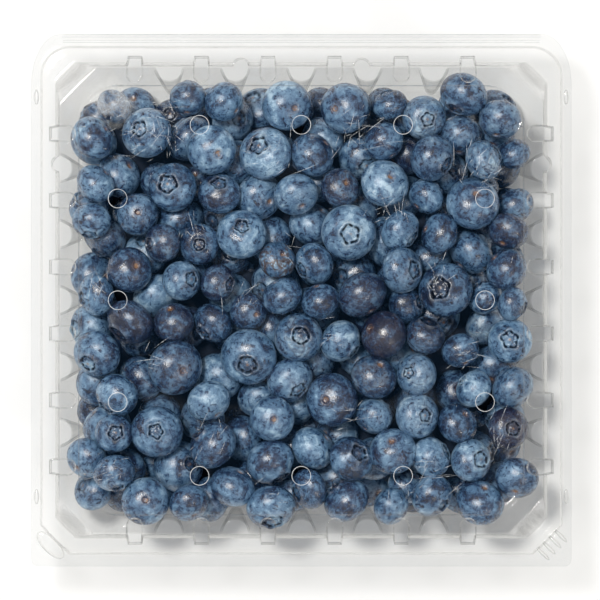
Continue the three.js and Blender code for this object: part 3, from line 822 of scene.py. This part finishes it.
# A flat panel inside a ring, with the vent holes left open
def fillPanel(book, ring, up):
    z = ring[0][2]
    places = [Vector((point[0], point[1])) for point in ring]
    count = len(places)
    edges = [(index, (index + 1) % count) for index in range(count)]
    for x, y in ventPlaces():
        first = len(places)
        for step in range(vent["sides"]):
            angle = step * 2 * math.pi / vent["sides"]
            edgeX = x + vent["radius"] * math.cos(angle)
            edgeY = y + vent["radius"] * math.sin(angle)
            places.append(Vector((edgeX, edgeY)))
            edges.append((first + step, first + (step + 1) % vent["sides"]))
    spacing, count = panelGrid["spacing"], panelGrid["count"]
    clear = vent["radius"] + panelGrid["clear"]
    reachX = max(point[0] for point in ring) - spacing / 2
    reachY = max(point[1] for point in ring) - spacing / 2
    for column in range(-count, count + 1):
        for row in range(-count, count + 1):
            x, y = column * spacing, row * spacing
            inCorner = abs(x) > reachX - panelGrid["corner"] and abs(y) > reachY - panelGrid["corner"]
            byVent = any(math.hypot(x - ventX, y - ventY) < clear for ventX, ventY in ventPlaces())
            if abs(x) < reachX and abs(y) < reachY and not inCorner and not byVent:
                places.append(Vector((x, y)))
    flat, _, faces, _, _, _ = delaunay_2d_cdt(places, edges, [], 1, 1e-6)
    corners = [book.verts.new(Vector((place.x, place.y, z)) * mm) for place in flat]
    for face in faces:
        middle = sum((flat[corner] for corner in face), Vector((0, 0))) / len(face)
        inHole = vent["radius"] * 0.98
        if any(math.hypot(middle.x - x, middle.y - y) < inHole for x, y in ventPlaces()):
            continue
        made = book.faces.new([corners[corner] for corner in face])
        made.normal_update()
        if made.normal.z * up < 0:
            made.normal_flip()


# A sheet through a stack of rings. fillRing is the ring that closes round a flat panel with
# vent holes, and up says which way that panel faces
def makeSheet(name, rings, fillRing, up):
    count = len(rings[0])
    book = bmesh.new()
    corners = [[book.verts.new(Vector(point) * mm) for point in ring] for ring in rings]
    for low, high in zip(corners, corners[1:]):
        for station in range(count):
            after = (station + 1) % count
            book.faces.new((low[station], low[after], high[after], high[station]))
    fillPanel(book, rings[fillRing], up)
    bmesh.ops.remove_doubles(book, verts=book.verts, dist=0.00001)
    bmesh.ops.dissolve_degenerate(book, edges=book.edges, dist=0.00001)
    mesh = bpy.data.meshes.new(name)
    book.to_mesh(mesh)
    book.free()
    piece = addObject(name, mesh)
    shell = piece.modifiers.new("shell", "SOLIDIFY")
    shell.thickness = pack["sheet"] * mm
    shell.offset = -1
    bakeModifiers(piece)
    piece.data.shade_smooth()
    piece.data.set_sharp_from_angle(angle=math.radians(38))
    even = piece.modifiers.new("evenNormals", "WEIGHTED_NORMAL")
    even.weight = 60
    even.keep_sharp = True
    bakeModifiers(piece)
    return piece


def bakeModifiers(piece):
    graph = bpy.context.evaluated_depsgraph_get()
    mesh = bpy.data.meshes.new_from_object(piece.evaluated_get(graph))
    piece.modifiers.clear()
    old = piece.data
    piece.data = mesh
    mesh.name = piece.name
    bpy.data.meshes.remove(old)


def grown(half, by):
    return (half[0] + by, half[1] + by)


def noShift(kind, fraction, side):
    return (0.0, 0.0)


def levelOf(half, z, corners, widths, shift=noShift, bend=0.0):
    back, front = corners
    return {
        "half": half, "z": z, "back": back, "front": front, "widths": widths, "shift": shift, "bend": bend,
    }


def sheetThrough(name, levels, stations, features, fillRing, up):
    rings = [ringPoints(level, stations, features) for level in levels]
    return makeSheet(name, softened(rings, [level["bend"] for level in levels]), fillRing, up)


def makeTray():
    shoulderZ = pack["flangeZ"] + pack["shoulderRise"]
    sheet = pack["sheet"]
    features = [[(at, "flute") for at in spreadOf(tray["flutes"])]] * 4
    stations = stationsRound(features, 4, 16)
    topZ = shoulderZ - sheet

    def wallHalf(z):
        share = (z - tray["footBevel"]) / (topZ - tray["footBevel"])
        return tuple(between(low, high, share) for low, high in zip(tray["floor"], tray["top"]))

    def fluteAt(z):
        share = (z - tray["fluteFoot"]) / (topZ - tray["fluteFoot"])
        return between(tray["fluteAtFloor"], tray["fluteAtRim"], min(max(share, 0), 1))

    def fluteShift(radius):
        return lambda kind, fraction, side: (-radius * math.sqrt(max(0, 1 - fraction * fraction)), 0.0)

    def level(half, z, corners, width, shift=noShift, bend=0.0):
        return levelOf(half, z, corners, {"flute": width}, shift, bend)

    wall = (roundTray, roundTray)
    bead = (beadBack, beadFront)
    flange = (flangeBack, flangeFront)
    small, wide = tray["fluteAtFloor"], tray["fluteAtRim"]
    shoulder = pack["shoulder"]
    outline = (pack["width"] / 2, pack["depth"] / 2)
    footZ = tray["fluteFoot"]
    levels = [
        level(grown(tray["floor"], -tray["footBevel"]), 0, wall, small),
        level(tray["floor"], tray["footBevel"], wall, small, bend=0.3),
        level(wallHalf(footZ), footZ, wall, small),
        level(wallHalf(footZ + 0.2), footZ + 0.2, wall, small, fluteShift(small), bend=0.15),
    ]
    underZ = pack["flangeZ"] - sheet
    for step in range(1, tray["wallSteps"]):
        z = between(footZ + 0.2, topZ - 0.1, step / tray["wallSteps"])
        levels.append(level(wallHalf(z), z, wall, fluteAt(z), fluteShift(fluteAt(z))))
    levels += [
        level(wallHalf(topZ - 0.1), topZ - 0.1, wall, wide, fluteShift(wide), bend=0.25),
        level(tray["top"], topZ, wall, wide, bend=0.3),
        level(grown(shoulder, -sheet), topZ, bead, wide, bend=tray["bend"]),
        level(grown(shoulder, pack["stepDraft"] - sheet), underZ, bead, wide, bend=tray["bend"]),
        level(outline, underZ, flange, wide),
    ]
    return sheetThrough("clear_tray", levels, stations, features, 0, -1)


def makeLid():
    sheet = pack["sheet"]
    flangeTop = pack["flangeZ"] + pack["looseFit"] + sheet
    shoulderTop = flangeTop + pack["shoulderRise"]
    topZ = pack["height"]
    channels = [(at, "channel") for at in spreadOf(lid["channels"])]
    postsOfSide = [[lid["postSideY"]], [-lid["postBackX"], lid["postBackX"]], [-lid["postSideY"]], []]
    features = [sorted(channels + [(at, "post") for at in posts]) for posts in postsOfSide]
    stations = stationsRound(features, 3, 18)
    halfWidth = lid["channelWidth"] / 2
    widths = {"channel": halfWidth, "post": lid["postRadius"]}

    def postShift(fraction, side, half, taper=0.0):
        axis = side % 2
        radius = lid["postRadius"] - taper
        reach = radius * math.sqrt(max(0, 1 - fraction * fraction))
        return max(0.0, lid["edge"][axis] + reach - half[axis])

    def baseShift(kind, fraction, side):
        if kind == "post":
            return (postShift(fraction, side, lid["base"]), 0.0)
        return (lid["channelLip"] if abs(fraction) <= 1 else 0.0, 0.0)

    def edgeShift(kind, fraction, side):
        if kind == "post":
            return (postShift(fraction, side, lid["edge"], lid["postTaper"]), 0.0)
        if abs(fraction) > 1:
            return (0.0, 0.0)
        axis = side % 2
        return (lid["base"][axis] + lid["channelLip"] - lid["edge"][axis], -lid["channelDepth"])

    def endShift(drop, inwards):
        def shift(kind, fraction, side):
            if kind == "post" or abs(fraction) > 1:
                return (-inwards, 0.0)
            return (-inwards - halfWidth * math.sqrt(max(0, 1 - fraction * fraction)), drop)
        return shift

    def level(half, z, corners, shift=noShift, bend=0.0):
        return levelOf(half, z, corners, widths, shift, bend)

    shoulder = grown(pack["shoulder"], lid["shoulderGrowth"])
    outline = (pack["width"] / 2, pack["depth"] / 2)
    bead = (beadBack, beadFront)
    channelEnd = grown(lid["edge"], halfWidth - lid["channelReach"])
    endCorner = ((12.8, 12.8, 0.45),) * 2
    panelZ = topZ - lid["panelDrop"]
    levels = [
        level(outline, flangeTop, (flangeBack, flangeFront)),
        level(grown(shoulder, pack["stepDraft"]), flangeTop, bead, bend=0.6),
        level(shoulder, shoulderTop, bead, bend=0.6),
        level(lid["base"], shoulderTop, (domeBase, domeBase), baseShift, 0.6),
        level(lid["edge"], topZ, (domeEdge, domeEdge), edgeShift, lid["bend"]),
        level(channelEnd, topZ, endCorner, endShift(-lid["channelDepth"], 0.0), 0.25),
        level(channelEnd, topZ, endCorner, endShift(0.0, 0.25), 0.25),
        level(lid["panel"], topZ, (panelCorner, panelCorner), bend=0.5),
        level(grown(lid["panel"], -lid["panelDraft"]), panelZ, (panelCorner, panelCorner), bend=0.5),
        level(grown(lid["panel"], -lid["panelDraft"] - 1.5), panelZ, (panelCorner, panelCorner)),
    ]
    return sheetThrough("clear_lid", levels, stations, features, -1, 1)


# Small formed details of the lid's flange: snap studs, thumb tabs and the fold line at the back
# The least painted highlight on a vent's bead, and what its patches add
ventRimHighlight = (0.4, 0.35)
trim = {
    "studX": 91.2, "studBackY": 70.0, "studFrontY": -67.6, "stud": (0.85, 2.6, 0.55),
    "tabX": 86.4, "tabY": -84.3, "tab": (2.7, 6.2, 0.7),
    "ribs": 4, "ribSpacing": 2.9, "rib": (0.7, 2.9, 0.5),
    "foldY": 89.2, "foldHalfX": 82.0, "foldRadius": 0.22, "foldSpread": 2.2, "foldSunk": 0.02,
    "filmHalfX": 82.4, "film": 0.14, "filmFromY": 90.4, "filmBendY": 91.1, "filmReach": 0.48,
}
lidFlangeTop = pack["flangeZ"] + pack["looseFit"] + pack["sheet"]
dome = {"sides": 28, "rows": 7, "skin": 0.28, "squareness": 0.8, "least": 0.1}


# A low dome of formed sheet, hollow underneath, on top of the lid's flange
def addDome(book, x, y, size, turn, topZ):
    halfWidth, halfLength, height = size
    sides, rows = dome["sides"], dome["rows"]
    spin = Matrix.Rotation(turn, 3, "Z")
    layers = []
    for inset in (0.0, dome["skin"]):
        wide = max(halfWidth - inset, dome["least"])
        long = max(halfLength - inset, dome["least"])
        rings = []
        for row in range(rows + 1):
            angle = row / rows * math.pi / 2
            reach = math.cos(angle) ** dome["squareness"] if row < rows else 0.0
            rise = math.sin(angle) * (height - inset)
            ring = []
            for side in range(sides if row < rows else 1):
                around = side * 2 * math.pi / sides
                flat = Vector((wide * reach * math.cos(around), long * reach * math.sin(around), rise))
                ring.append(book.verts.new((Vector((x, y, topZ)) + spin @ flat) * mm))
            rings.append(ring)
        layers.append(rings)
    for layer, rings in enumerate(layers):
        for row in range(rows):
            for side in range(sides):
                after = (side + 1) % sides
                low, high = rings[row], rings[row + 1]
                if row + 1 < rows:
                    face = [low[side], low[after], high[after], high[side]]
                else:
                    face = [low[side], low[after], high[0]]
                book.faces.new(face if layer == 0 else face[::-1])
    outerFoot, innerFoot = layers[0][0], layers[1][0]
    for side in range(sides):
        after = (side + 1) % sides
        book.faces.new([outerFoot[after], outerFoot[side], innerFoot[side], innerFoot[after]])


# A thin melted bead round each vent hole, with the white ring of light that it catches painted on as a white
# body
ventRim = {"tube": 0.1, "sides": 44, "tubeSides": 8}


def makeVentRims():
    z = pack["height"] - lid["panelDrop"]
    count, tubeSides = ventRim["sides"], ventRim["tubeSides"]
    book = bmesh.new()
    for x, y in ventPlaces():
        rings = []
        for side in range(count):
            angle = side * 2 * math.pi / count
            ring = []
            for turn in range(tubeSides):
                around = turn * 2 * math.pi / tubeSides
                reach = vent["radius"] - ventRim["tube"] * 0.4 + ventRim["tube"] * math.cos(around)
                height = z + ventRim["tube"] * math.sin(around)
                place = Vector((x + reach * math.cos(angle), y + reach * math.sin(angle), height))
                ring.append(book.verts.new(place * mm))
            rings.append(ring)
        for side in range(count):
            here, there = rings[side], rings[(side + 1) % count]
            for turn in range(tubeSides):
                after = (turn + 1) % tubeSides
                book.faces.new([here[turn], there[turn], there[after], here[after]])
    return pieceFromBook("lid_vent_rims", book)


def ventRimHighlightMaterial():
    make = Recipe(bpy.data.materials.new("ventRimPaintedHighlight"))
    place = make.add("TexCoord").outputs["Object"]
    patchy = make.step(make.noise(place, 260, 2, 0.5), 0.3, 0.6)
    # Painted highlight: a white body mixed into the clear bead
    inputs = {"Base Color": (0.85, 0.87, 0.88, 1), "Roughness": 0.25, "Specular IOR Level": 0.6}
    body = make.add("BsdfPrincipled", inputs).outputs[0]
    least, more = ventRimHighlight
    share = make.add("Math", {0: patchy, 1: more, 2: least}, operation="MULTIPLY_ADD").outputs[0]
    return make.finish(make.blend(share, make.through((1, 1, 1)), body))


# A piece from a built mesh; one that is smooth keeps its edges over 50 degrees sharp
def pieceFromBook(name, book, smooth=True):
    mesh = bpy.data.meshes.new(name)
    book.to_mesh(mesh)
    book.free()
    if smooth:
        mesh.shade_smooth()
        mesh.set_sharp_from_angle(angle=math.radians(50))
    return addObject(name, mesh)


def makeTabs():
    topZ = lidFlangeTop
    book = bmesh.new()
    for side in (-1, 1):
        addDome(book, side * trim["studX"], trim["studBackY"], trim["stud"], 0, topZ)
        addDome(book, side * trim["studX"], trim["studFrontY"], trim["stud"], 0, topZ)
    addDome(book, -trim["tabX"], trim["tabY"], trim["tab"], math.pi / 4, topZ)
    for rib in range(trim["ribs"]):
        along = (rib - (trim["ribs"] - 1) / 2) * trim["ribSpacing"] * math.sqrt(0.5)
        addDome(book, trim["tabX"] + along, trim["tabY"] + along, trim["rib"], math.pi / 4, topZ)
    return pieceFromBook("lid_studs_and_tabs", book)


# A strip swept along X through a profile of (y, z) points, with flat ends
def sweepAlongX(name, profile, lowX, highX, steps):
    book = bmesh.new()
    rows = []
    for step in range(steps + 1):
        x = between(lowX, highX, step / steps)
        rows.append([book.verts.new(Vector((x, y, z)) * mm) for y, z in profile])
    count = len(profile)
    for step in range(steps):
        for corner in range(count):
            after = (corner + 1) % count
            here, there = rows[step], rows[step + 1]
            book.faces.new([here[corner], there[corner], there[after], here[after]])
    book.faces.new(rows[0])
    book.faces.new(rows[-1][::-1])
    bmesh.ops.recalc_face_normals(book, faces=book.faces)
    return pieceFromBook(name, book)


def makeFoldLine():
    profile = []
    for step in range(7):
        angle = step * math.pi / 6
        y = trim["foldY"] + trim["foldSpread"] * trim["foldRadius"] * math.cos(angle)
        profile.append((y, lidFlangeTop - trim["foldSunk"] + trim["foldRadius"] * math.sin(angle)))
    return sweepAlongX("lid_fold_line", profile, -trim["foldHalfX"], trim["foldHalfX"], 60)


# The living hinge: a thin film that leaves the tray's flange, turns back on itself and meets the lid's flange
def makeHingeFilm():
    low = pack["flangeZ"] - pack["sheet"] / 2
    high = pack["flangeZ"] + pack["looseFit"] + pack["sheet"] / 2
    middle = (low + high) / 2
    outer, inner = [], []
    for step in range(13):
        angle = -math.pi / 2 + step * math.pi / 12
        for line, shrink in ((outer, 0.0), (inner, trim["film"])):
            half = (high - low) / 2 - shrink
            y = trim["filmBendY"] + (trim["filmReach"] - shrink) * math.cos(angle)
            line.append((y, middle + half * math.sin(angle)))
    start = trim["filmFromY"]
    outer = [(start, low)] + outer + [(start, high)]
    inner = [(start, low + trim["film"])] + inner + [(start, high - trim["film"])]
    film = sweepAlongX("hinge_film", outer + inner[::-1], -trim["filmHalfX"], trim["filmHalfX"], 120)
    return film


# Fine scratches on top of the lid: thin curved slivers in loose groups, from the photograph
scratchSet = {
    "seed": 5521, "leastWide": 0.1, "mostWide": 0.21, "lift": 0.012, "steps": 7,
    "share": 2, "spread": 1.4, "turn": 55, "bend": 0.22, "shortest": 1.6, "longest": 13.0, "taper": 0.06,
    "edgeRoom": 1.5, "ventRoom": 0.3, "white": (0.88, 0.92, 0.95), "strength": 0.52,
    # group: middle in pixels, how many, reach in pixels, heading in degrees
    "groups": [
        (148, 128, 11, 26, 20), (122, 140, 8, 20, 35), (165, 138, 9, 20, 115), (112, 106, 6, 14, 60),
        (358, 128, 8, 20, 30), (345, 145, 6, 14, 95), (282, 158, 7, 16, 70), (255, 150, 5, 14, 20),
        (466, 165, 8, 18, 85), (486, 190, 6, 12, 20), (376, 212, 7, 18, 40), (402, 218, 5, 12, 100),
        (424, 475, 9, 22, 30), (405, 490, 6, 16, 75), (460, 352, 6, 16, 15), (500, 440, 7, 18, 65),
        (346, 412, 6, 16, 10), (240, 300, 5, 18, 50), (190, 235, 5, 16, 100), (150, 360, 5, 16, 30),
        (300, 250, 4, 14, 120), (210, 440, 5, 18, 60), (330, 330, 4, 16, 25), (440, 280, 5, 16, 80),
        (110, 470, 6, 18, 40), (270, 500, 5, 18, 10), (520, 260, 4, 12, 90), (95, 290, 5, 16, 95),
    ],
}


def makeScratches():
    draw = makeDraw(scratchSet["seed"])
    scale = berrySet["mmPerPixel"]
    topZ = pack["height"] - lid["panelDrop"] + scratchSet["lift"]
    limitX = lid["panel"][0] - lid["panelDraft"] - scratchSet["edgeRoom"]
    limitY = lid["panel"][1] - lid["panelDraft"] - scratchSet["edgeRoom"]
    clear = vent["radius"] + scratchSet["ventRoom"]
    taper = scratchSet["taper"]
    book = bmesh.new()
    for px, py, number, reach, heading in scratchSet["groups"]:
        spread = scratchSet["spread"]
        for _ in range(number * scratchSet["share"]):
            x = (px + (draw() + draw() - 1) * reach * spread - berrySet["photoX"]) * scale
            y = (berrySet["photoY"] - py + (draw() + draw() - 1) * reach * spread) * scale
            angle = math.radians(heading + (draw() + draw() - 1) * scratchSet["turn"])
            bend = (draw() - 0.5) * scratchSet["bend"]
            length = between(scratchSet["shortest"], scratchSet["longest"], draw() * draw())
            wide = between(scratchSet["leastWide"], scratchSet["mostWide"], draw()) / 2
            steps = scratchSet["steps"]
            row = []
            for step in range(steps + 1):
                share = step / steps
                half = wide * math.sin(math.pi * min(max(share, taper), 1 - taper))
                sideways = Vector((-math.sin(angle), math.cos(angle), 0)) * half
                here = Vector((x, y, topZ))
                row.append((here + sideways, here - sideways))
                x += math.cos(angle) * length / steps
                y += math.sin(angle) * length / steps
                angle += bend / steps * 2
            sides = [side for pair in row for side in pair]
            if any(abs(side.x) > limitX or abs(side.y) > limitY for side in sides):
                continue
            if any(math.hypot(side.x - x, side.y - y) < clear for side in sides for x, y in ventPlaces()):
                continue
            corners = [[book.verts.new(side * mm) for side in pair] for pair in row]
            for step in range(steps):
                a, b = corners[step], corners[step + 1]
                book.faces.new([a[1], b[1], b[0], a[0]])
    return pieceFromBook("lid_scratches", book, False)


# The dark middle of the heap, painted shade: a dark sheet that closes the gaps between the berries
coreSet = {
    "seed": 733, "inset": 11.0, "lowZ": 6.0, "highZ": 17.0, "lumps": 2.2, "columns": 48, "rows": 48,
    "acrossX": 0.42, "acrossY": 0.4, "slantX": 0.23, "slantY": 0.31, "slant": 0.6,
    "edgeFall": 9, "edgeHalf": 0.35, "lumpShare": 0.6,
}


def makeCore():
    columns, rows = coreSet["columns"], coreSet["rows"]
    halfX = tray["floor"][0] - coreSet["inset"]
    halfY = tray["floor"][1] - coreSet["inset"]
    middle = (coreSet["lowZ"] + coreSet["highZ"]) / 2
    draw = makeDraw(coreSet["seed"])
    phases = [draw() * 6.28 for _ in range(6)]
    points, faces = [], []
    for way in (1, -1):
        for row in range(rows + 1):
            for column in range(columns + 1):
                u, v = column / columns * 2 - 1, row / rows * 2 - 1
                x, y = u * halfX, v * halfY
                across = math.sin(x * coreSet["acrossX"] + phases[0])
                along = math.sin(y * coreSet["acrossY"] + phases[1])
                slanted = math.sin(x * coreSet["slantX"] + y * coreSet["slantY"] + phases[2])
                lumps = across * along + coreSet["slant"] * slanted
                edge = min(1.0, (1 - max(abs(u), abs(v))) * coreSet["edgeFall"])
                taper = coreSet["edgeHalf"] + (1 - coreSet["edgeHalf"]) * edge ** 0.5
                half = (coreSet["highZ"] - coreSet["lowZ"]) / 2 * taper
                z = middle + (half + lumps * coreSet["lumps"] * edge * coreSet["lumpShare"]) * way
                points.append((x, y, z))
    layer = (columns + 1) * (rows + 1)
    for row in range(rows):
        for column in range(columns):
            a = row * (columns + 1) + column
            quad = (a, a + 1, a + columns + 2, a + columns + 1)
            faces.append(quad)
            faces.append(tuple(corner + layer for corner in quad[::-1]))
    rim = list(range(columns))
    rim += [row * (columns + 1) + columns for row in range(rows)]
    rim += [rows * (columns + 1) + column for column in range(columns, 0, -1)]
    rim += [row * (columns + 1) for row in range(rows, 0, -1)]
    for index, corner in enumerate(rim):
        after = rim[(index + 1) % len(rim)]
        faces.append((corner, corner + layer, after + layer, after))
    return makePiece("berry_core", points, faces)


def paintedShadeCoreMaterial():
    make = Recipe(bpy.data.materials.new("paintedShadeCore"))
    place = make.add("TexCoord").outputs["Object"]
    grain = make.noise(place, 160, 4)
    # Near-black colour: painted shade for the berries deep in the heap
    colour = make.ramp(grain, [(0.3, (0.004, 0.006, 0.012)), (0.75, (0.016, 0.026, 0.048))])
    inputs = {"Base Color": colour, "Roughness": 0.8, "Specular IOR Level": 0.2}
    return make.finish(make.add("BsdfPrincipled", inputs).outputs[0])


# The frost share is a painted reflection, milky white on faces seen edge-on, and the shade share a painted
# shade, a dark tint there
clearSet = {
    "through": (0.997, 0.997, 0.995), "ior": 1.34, "gloss": 0.05, "body": (0.8, 0.81, 0.8),
    "ripple": 55, "grain": 900, "grainShare": 0.03, "bump": 0.25, "relief": 0.0012,
    "hazeScale": 42, "toLamps": (0.928, 0.928, 0.925), "toLampsSteep": (0.925, 0.925, 0.92),
    "edgeShadeTint": (0.2, 0.21, 0.21),
    "tray": {"haze": 0.006, "mostGloss": 0.06, "frost": 0.04, "paintedEdgeShade": 0.5, "steepPower": 4.0},
    "lid": {"haze": 0.012, "mostGloss": 0.6, "frost": 0.22, "paintedEdgeShade": 1.0, "steepPower": 2.2},
    "trim": {"haze": 0.05, "mostGloss": 0.8, "frost": 0.9, "paintedEdgeShade": 0.95, "steepPower": 0.55},
}
# A frosted smudge on the panel: middle and reach in millimetres
smudge = {"x": -65.2, "y": 66.9, "z": 44.8, "reach": 9.0, "full": 0.6, "frost": 0.16, "scale": 260}


# Clear formed plastic: what is behind shows straight through, the gloss follows the angle, and the walls and
# tight bends that are seen edge-on get a painted reflection, a milky white, and painted shade, a dark tint
def clearMaterial(name, facts):
    make = Recipe(bpy.data.materials.new(name))
    place = make.add("TexCoord").outputs["Object"]
    ripple = make.noise(place, clearSet["ripple"], 3, 0.5)
    grain = make.noise(place, clearSet["grain"], 2, 0.5)
    relief = make.math("ADD", ripple, make.math("MULTIPLY", grain, clearSet["grainShare"]))
    inputs = {"Strength": clearSet["bump"], "Distance": clearSet["relief"], "Height": relief}
    bump = make.add("Bump", inputs).outputs["Normal"]
    inputs = {"Color": (1, 1, 1, 1), "Roughness": clearSet["gloss"], "Normal": bump}
    gloss = make.add("BsdfGlossy", inputs).outputs[0]
    body = make.add("BsdfDiffuse", {"Color": (*clearSet["body"], 1), "Roughness": 0.4}).outputs[0]
    facing = make.add("LayerWeight", {"Blend": 0.5}).outputs["Facing"]
    upness = make.add("SeparateXYZ", {"Vector": make.add("TexCoord").outputs["Normal"]}).outputs["Z"]
    slope = make.math("SUBTRACT", 1.0, make.math("ABSOLUTE", upness), clamp=True)
    steepness = make.math("POWER", make.math("MULTIPLY", facing, slope), facts["steepPower"])
    # Painted reflection and painted shade on the faces seen edge-on
    paintedEdgeSheen = make.math("MULTIPLY", steepness, facts["frost"])
    paintedEdgeShade = make.math("MULTIPLY", steepness, facts["paintedEdgeShade"])
    shaded = make.blend(paintedEdgeShade, make.through(clearSet["through"]), make.through(clearSet["edgeShadeTint"]))
    cloud = make.noise(place, clearSet["hazeScale"], 5, 0.6, 0.8)
    haze = make.math("MULTIPLY", make.step(cloud, 0.5, 0.8), facts["haze"])
    spot = (smudge["x"] * mm, smudge["y"] * mm, smudge["z"] * mm)
    away = make.add("VectorMath", {0: place, 1: spot}, operation="DISTANCE").outputs["Value"]
    frosted = make.step(make.noise(place, smudge["scale"], 4, 0.6), 0.35, 0.6)
    reach = smudge["reach"] * mm
    inputs = {"Value": away, "From Min": reach, "From Max": reach * smudge["full"], "To Max": smudge["frost"]}
    near = make.add("MapRange", inputs).outputs["Result"]
    haze = make.math("ADD", haze, make.math("MULTIPLY", near, frosted))
    base = make.blend(make.math("ADD", paintedEdgeSheen, haze, clamp=True), shaded, body)
    fresnel = make.add("Fresnel", {"IOR": clearSet["ior"], "Normal": bump}).outputs[0]
    seen = make.blend(make.math("MINIMUM", fresnel, facts["mostGloss"]), base, gloss)
    flatToLamps = make.through(clearSet["toLamps"])
    steepToLamps = make.through(clearSet["toLampsSteep"])
    lampRay = make.add("LightPath").outputs["Is Shadow Ray"]
    return make.finish(make.blend(lampRay, seen, make.blend(facing, flatToLamps, steepToLamps)))


def scratchMaterial():
    make = Recipe(bpy.data.materials.new("scratchedWhite"))
    place = make.add("TexCoord").outputs["Object"]
    broken = make.step(make.noise(place, 1400, 3, 0.6), 0.3, 0.62)
    body = make.add("BsdfDiffuse", {"Color": (*scratchSet["white"], 1)}).outputs[0]
    share = make.math("MULTIPLY", broken, scratchSet["strength"])
    return make.finish(make.blend(share, make.through((1, 1, 1)), body))


settled = settleBerries()
print("berries settled:", len(settled))
berryPieces = makeBerries(settled)
core = makeCore()
berrySkin = berryMaterial()
for piece in berryPieces:
    piece.data.materials.append(berrySkin)
core.data.materials.append(paintedShadeCoreMaterial())
for piece in [*berryPieces, core]:
    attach(piece, "tray_body")
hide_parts("berry_heap")
for piece in berryPieces:
    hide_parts("berry_heap")

clearTray = makeTray()
clearTray.data.materials.append(clearMaterial("clearTraySheet", clearSet["tray"]))
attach(clearTray, "tray_body")
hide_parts("tray")
print("tray:", len(clearTray.data.polygons), "faces")

lidSheet = clearMaterial("clearLidSheet", clearSet["lid"])
clearLid = makeLid()
trimSheet = clearMaterial("clearTrimSheet", clearSet["trim"])
for piece, sheet in ((clearLid, lidSheet), (makeTabs(), trimSheet), (makeFoldLine(), trimSheet)):
    piece.data.materials.append(sheet)
    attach(piece, "lid_body")
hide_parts("lid")
scratches = makeScratches()
scratches.data.materials.append(scratchMaterial())
ventRims = makeVentRims()
ventRims.data.materials.append(ventRimHighlightMaterial())
for piece in (scratches, ventRims):
    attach(piece, "lid_body")
print("lid:", len(clearLid.data.polygons), "faces,", len(scratches.data.polygons), "scratch faces")

film = makeHingeFilm()
film.data.materials.append(lidSheet)
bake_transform(film)
print("hinge film in place")
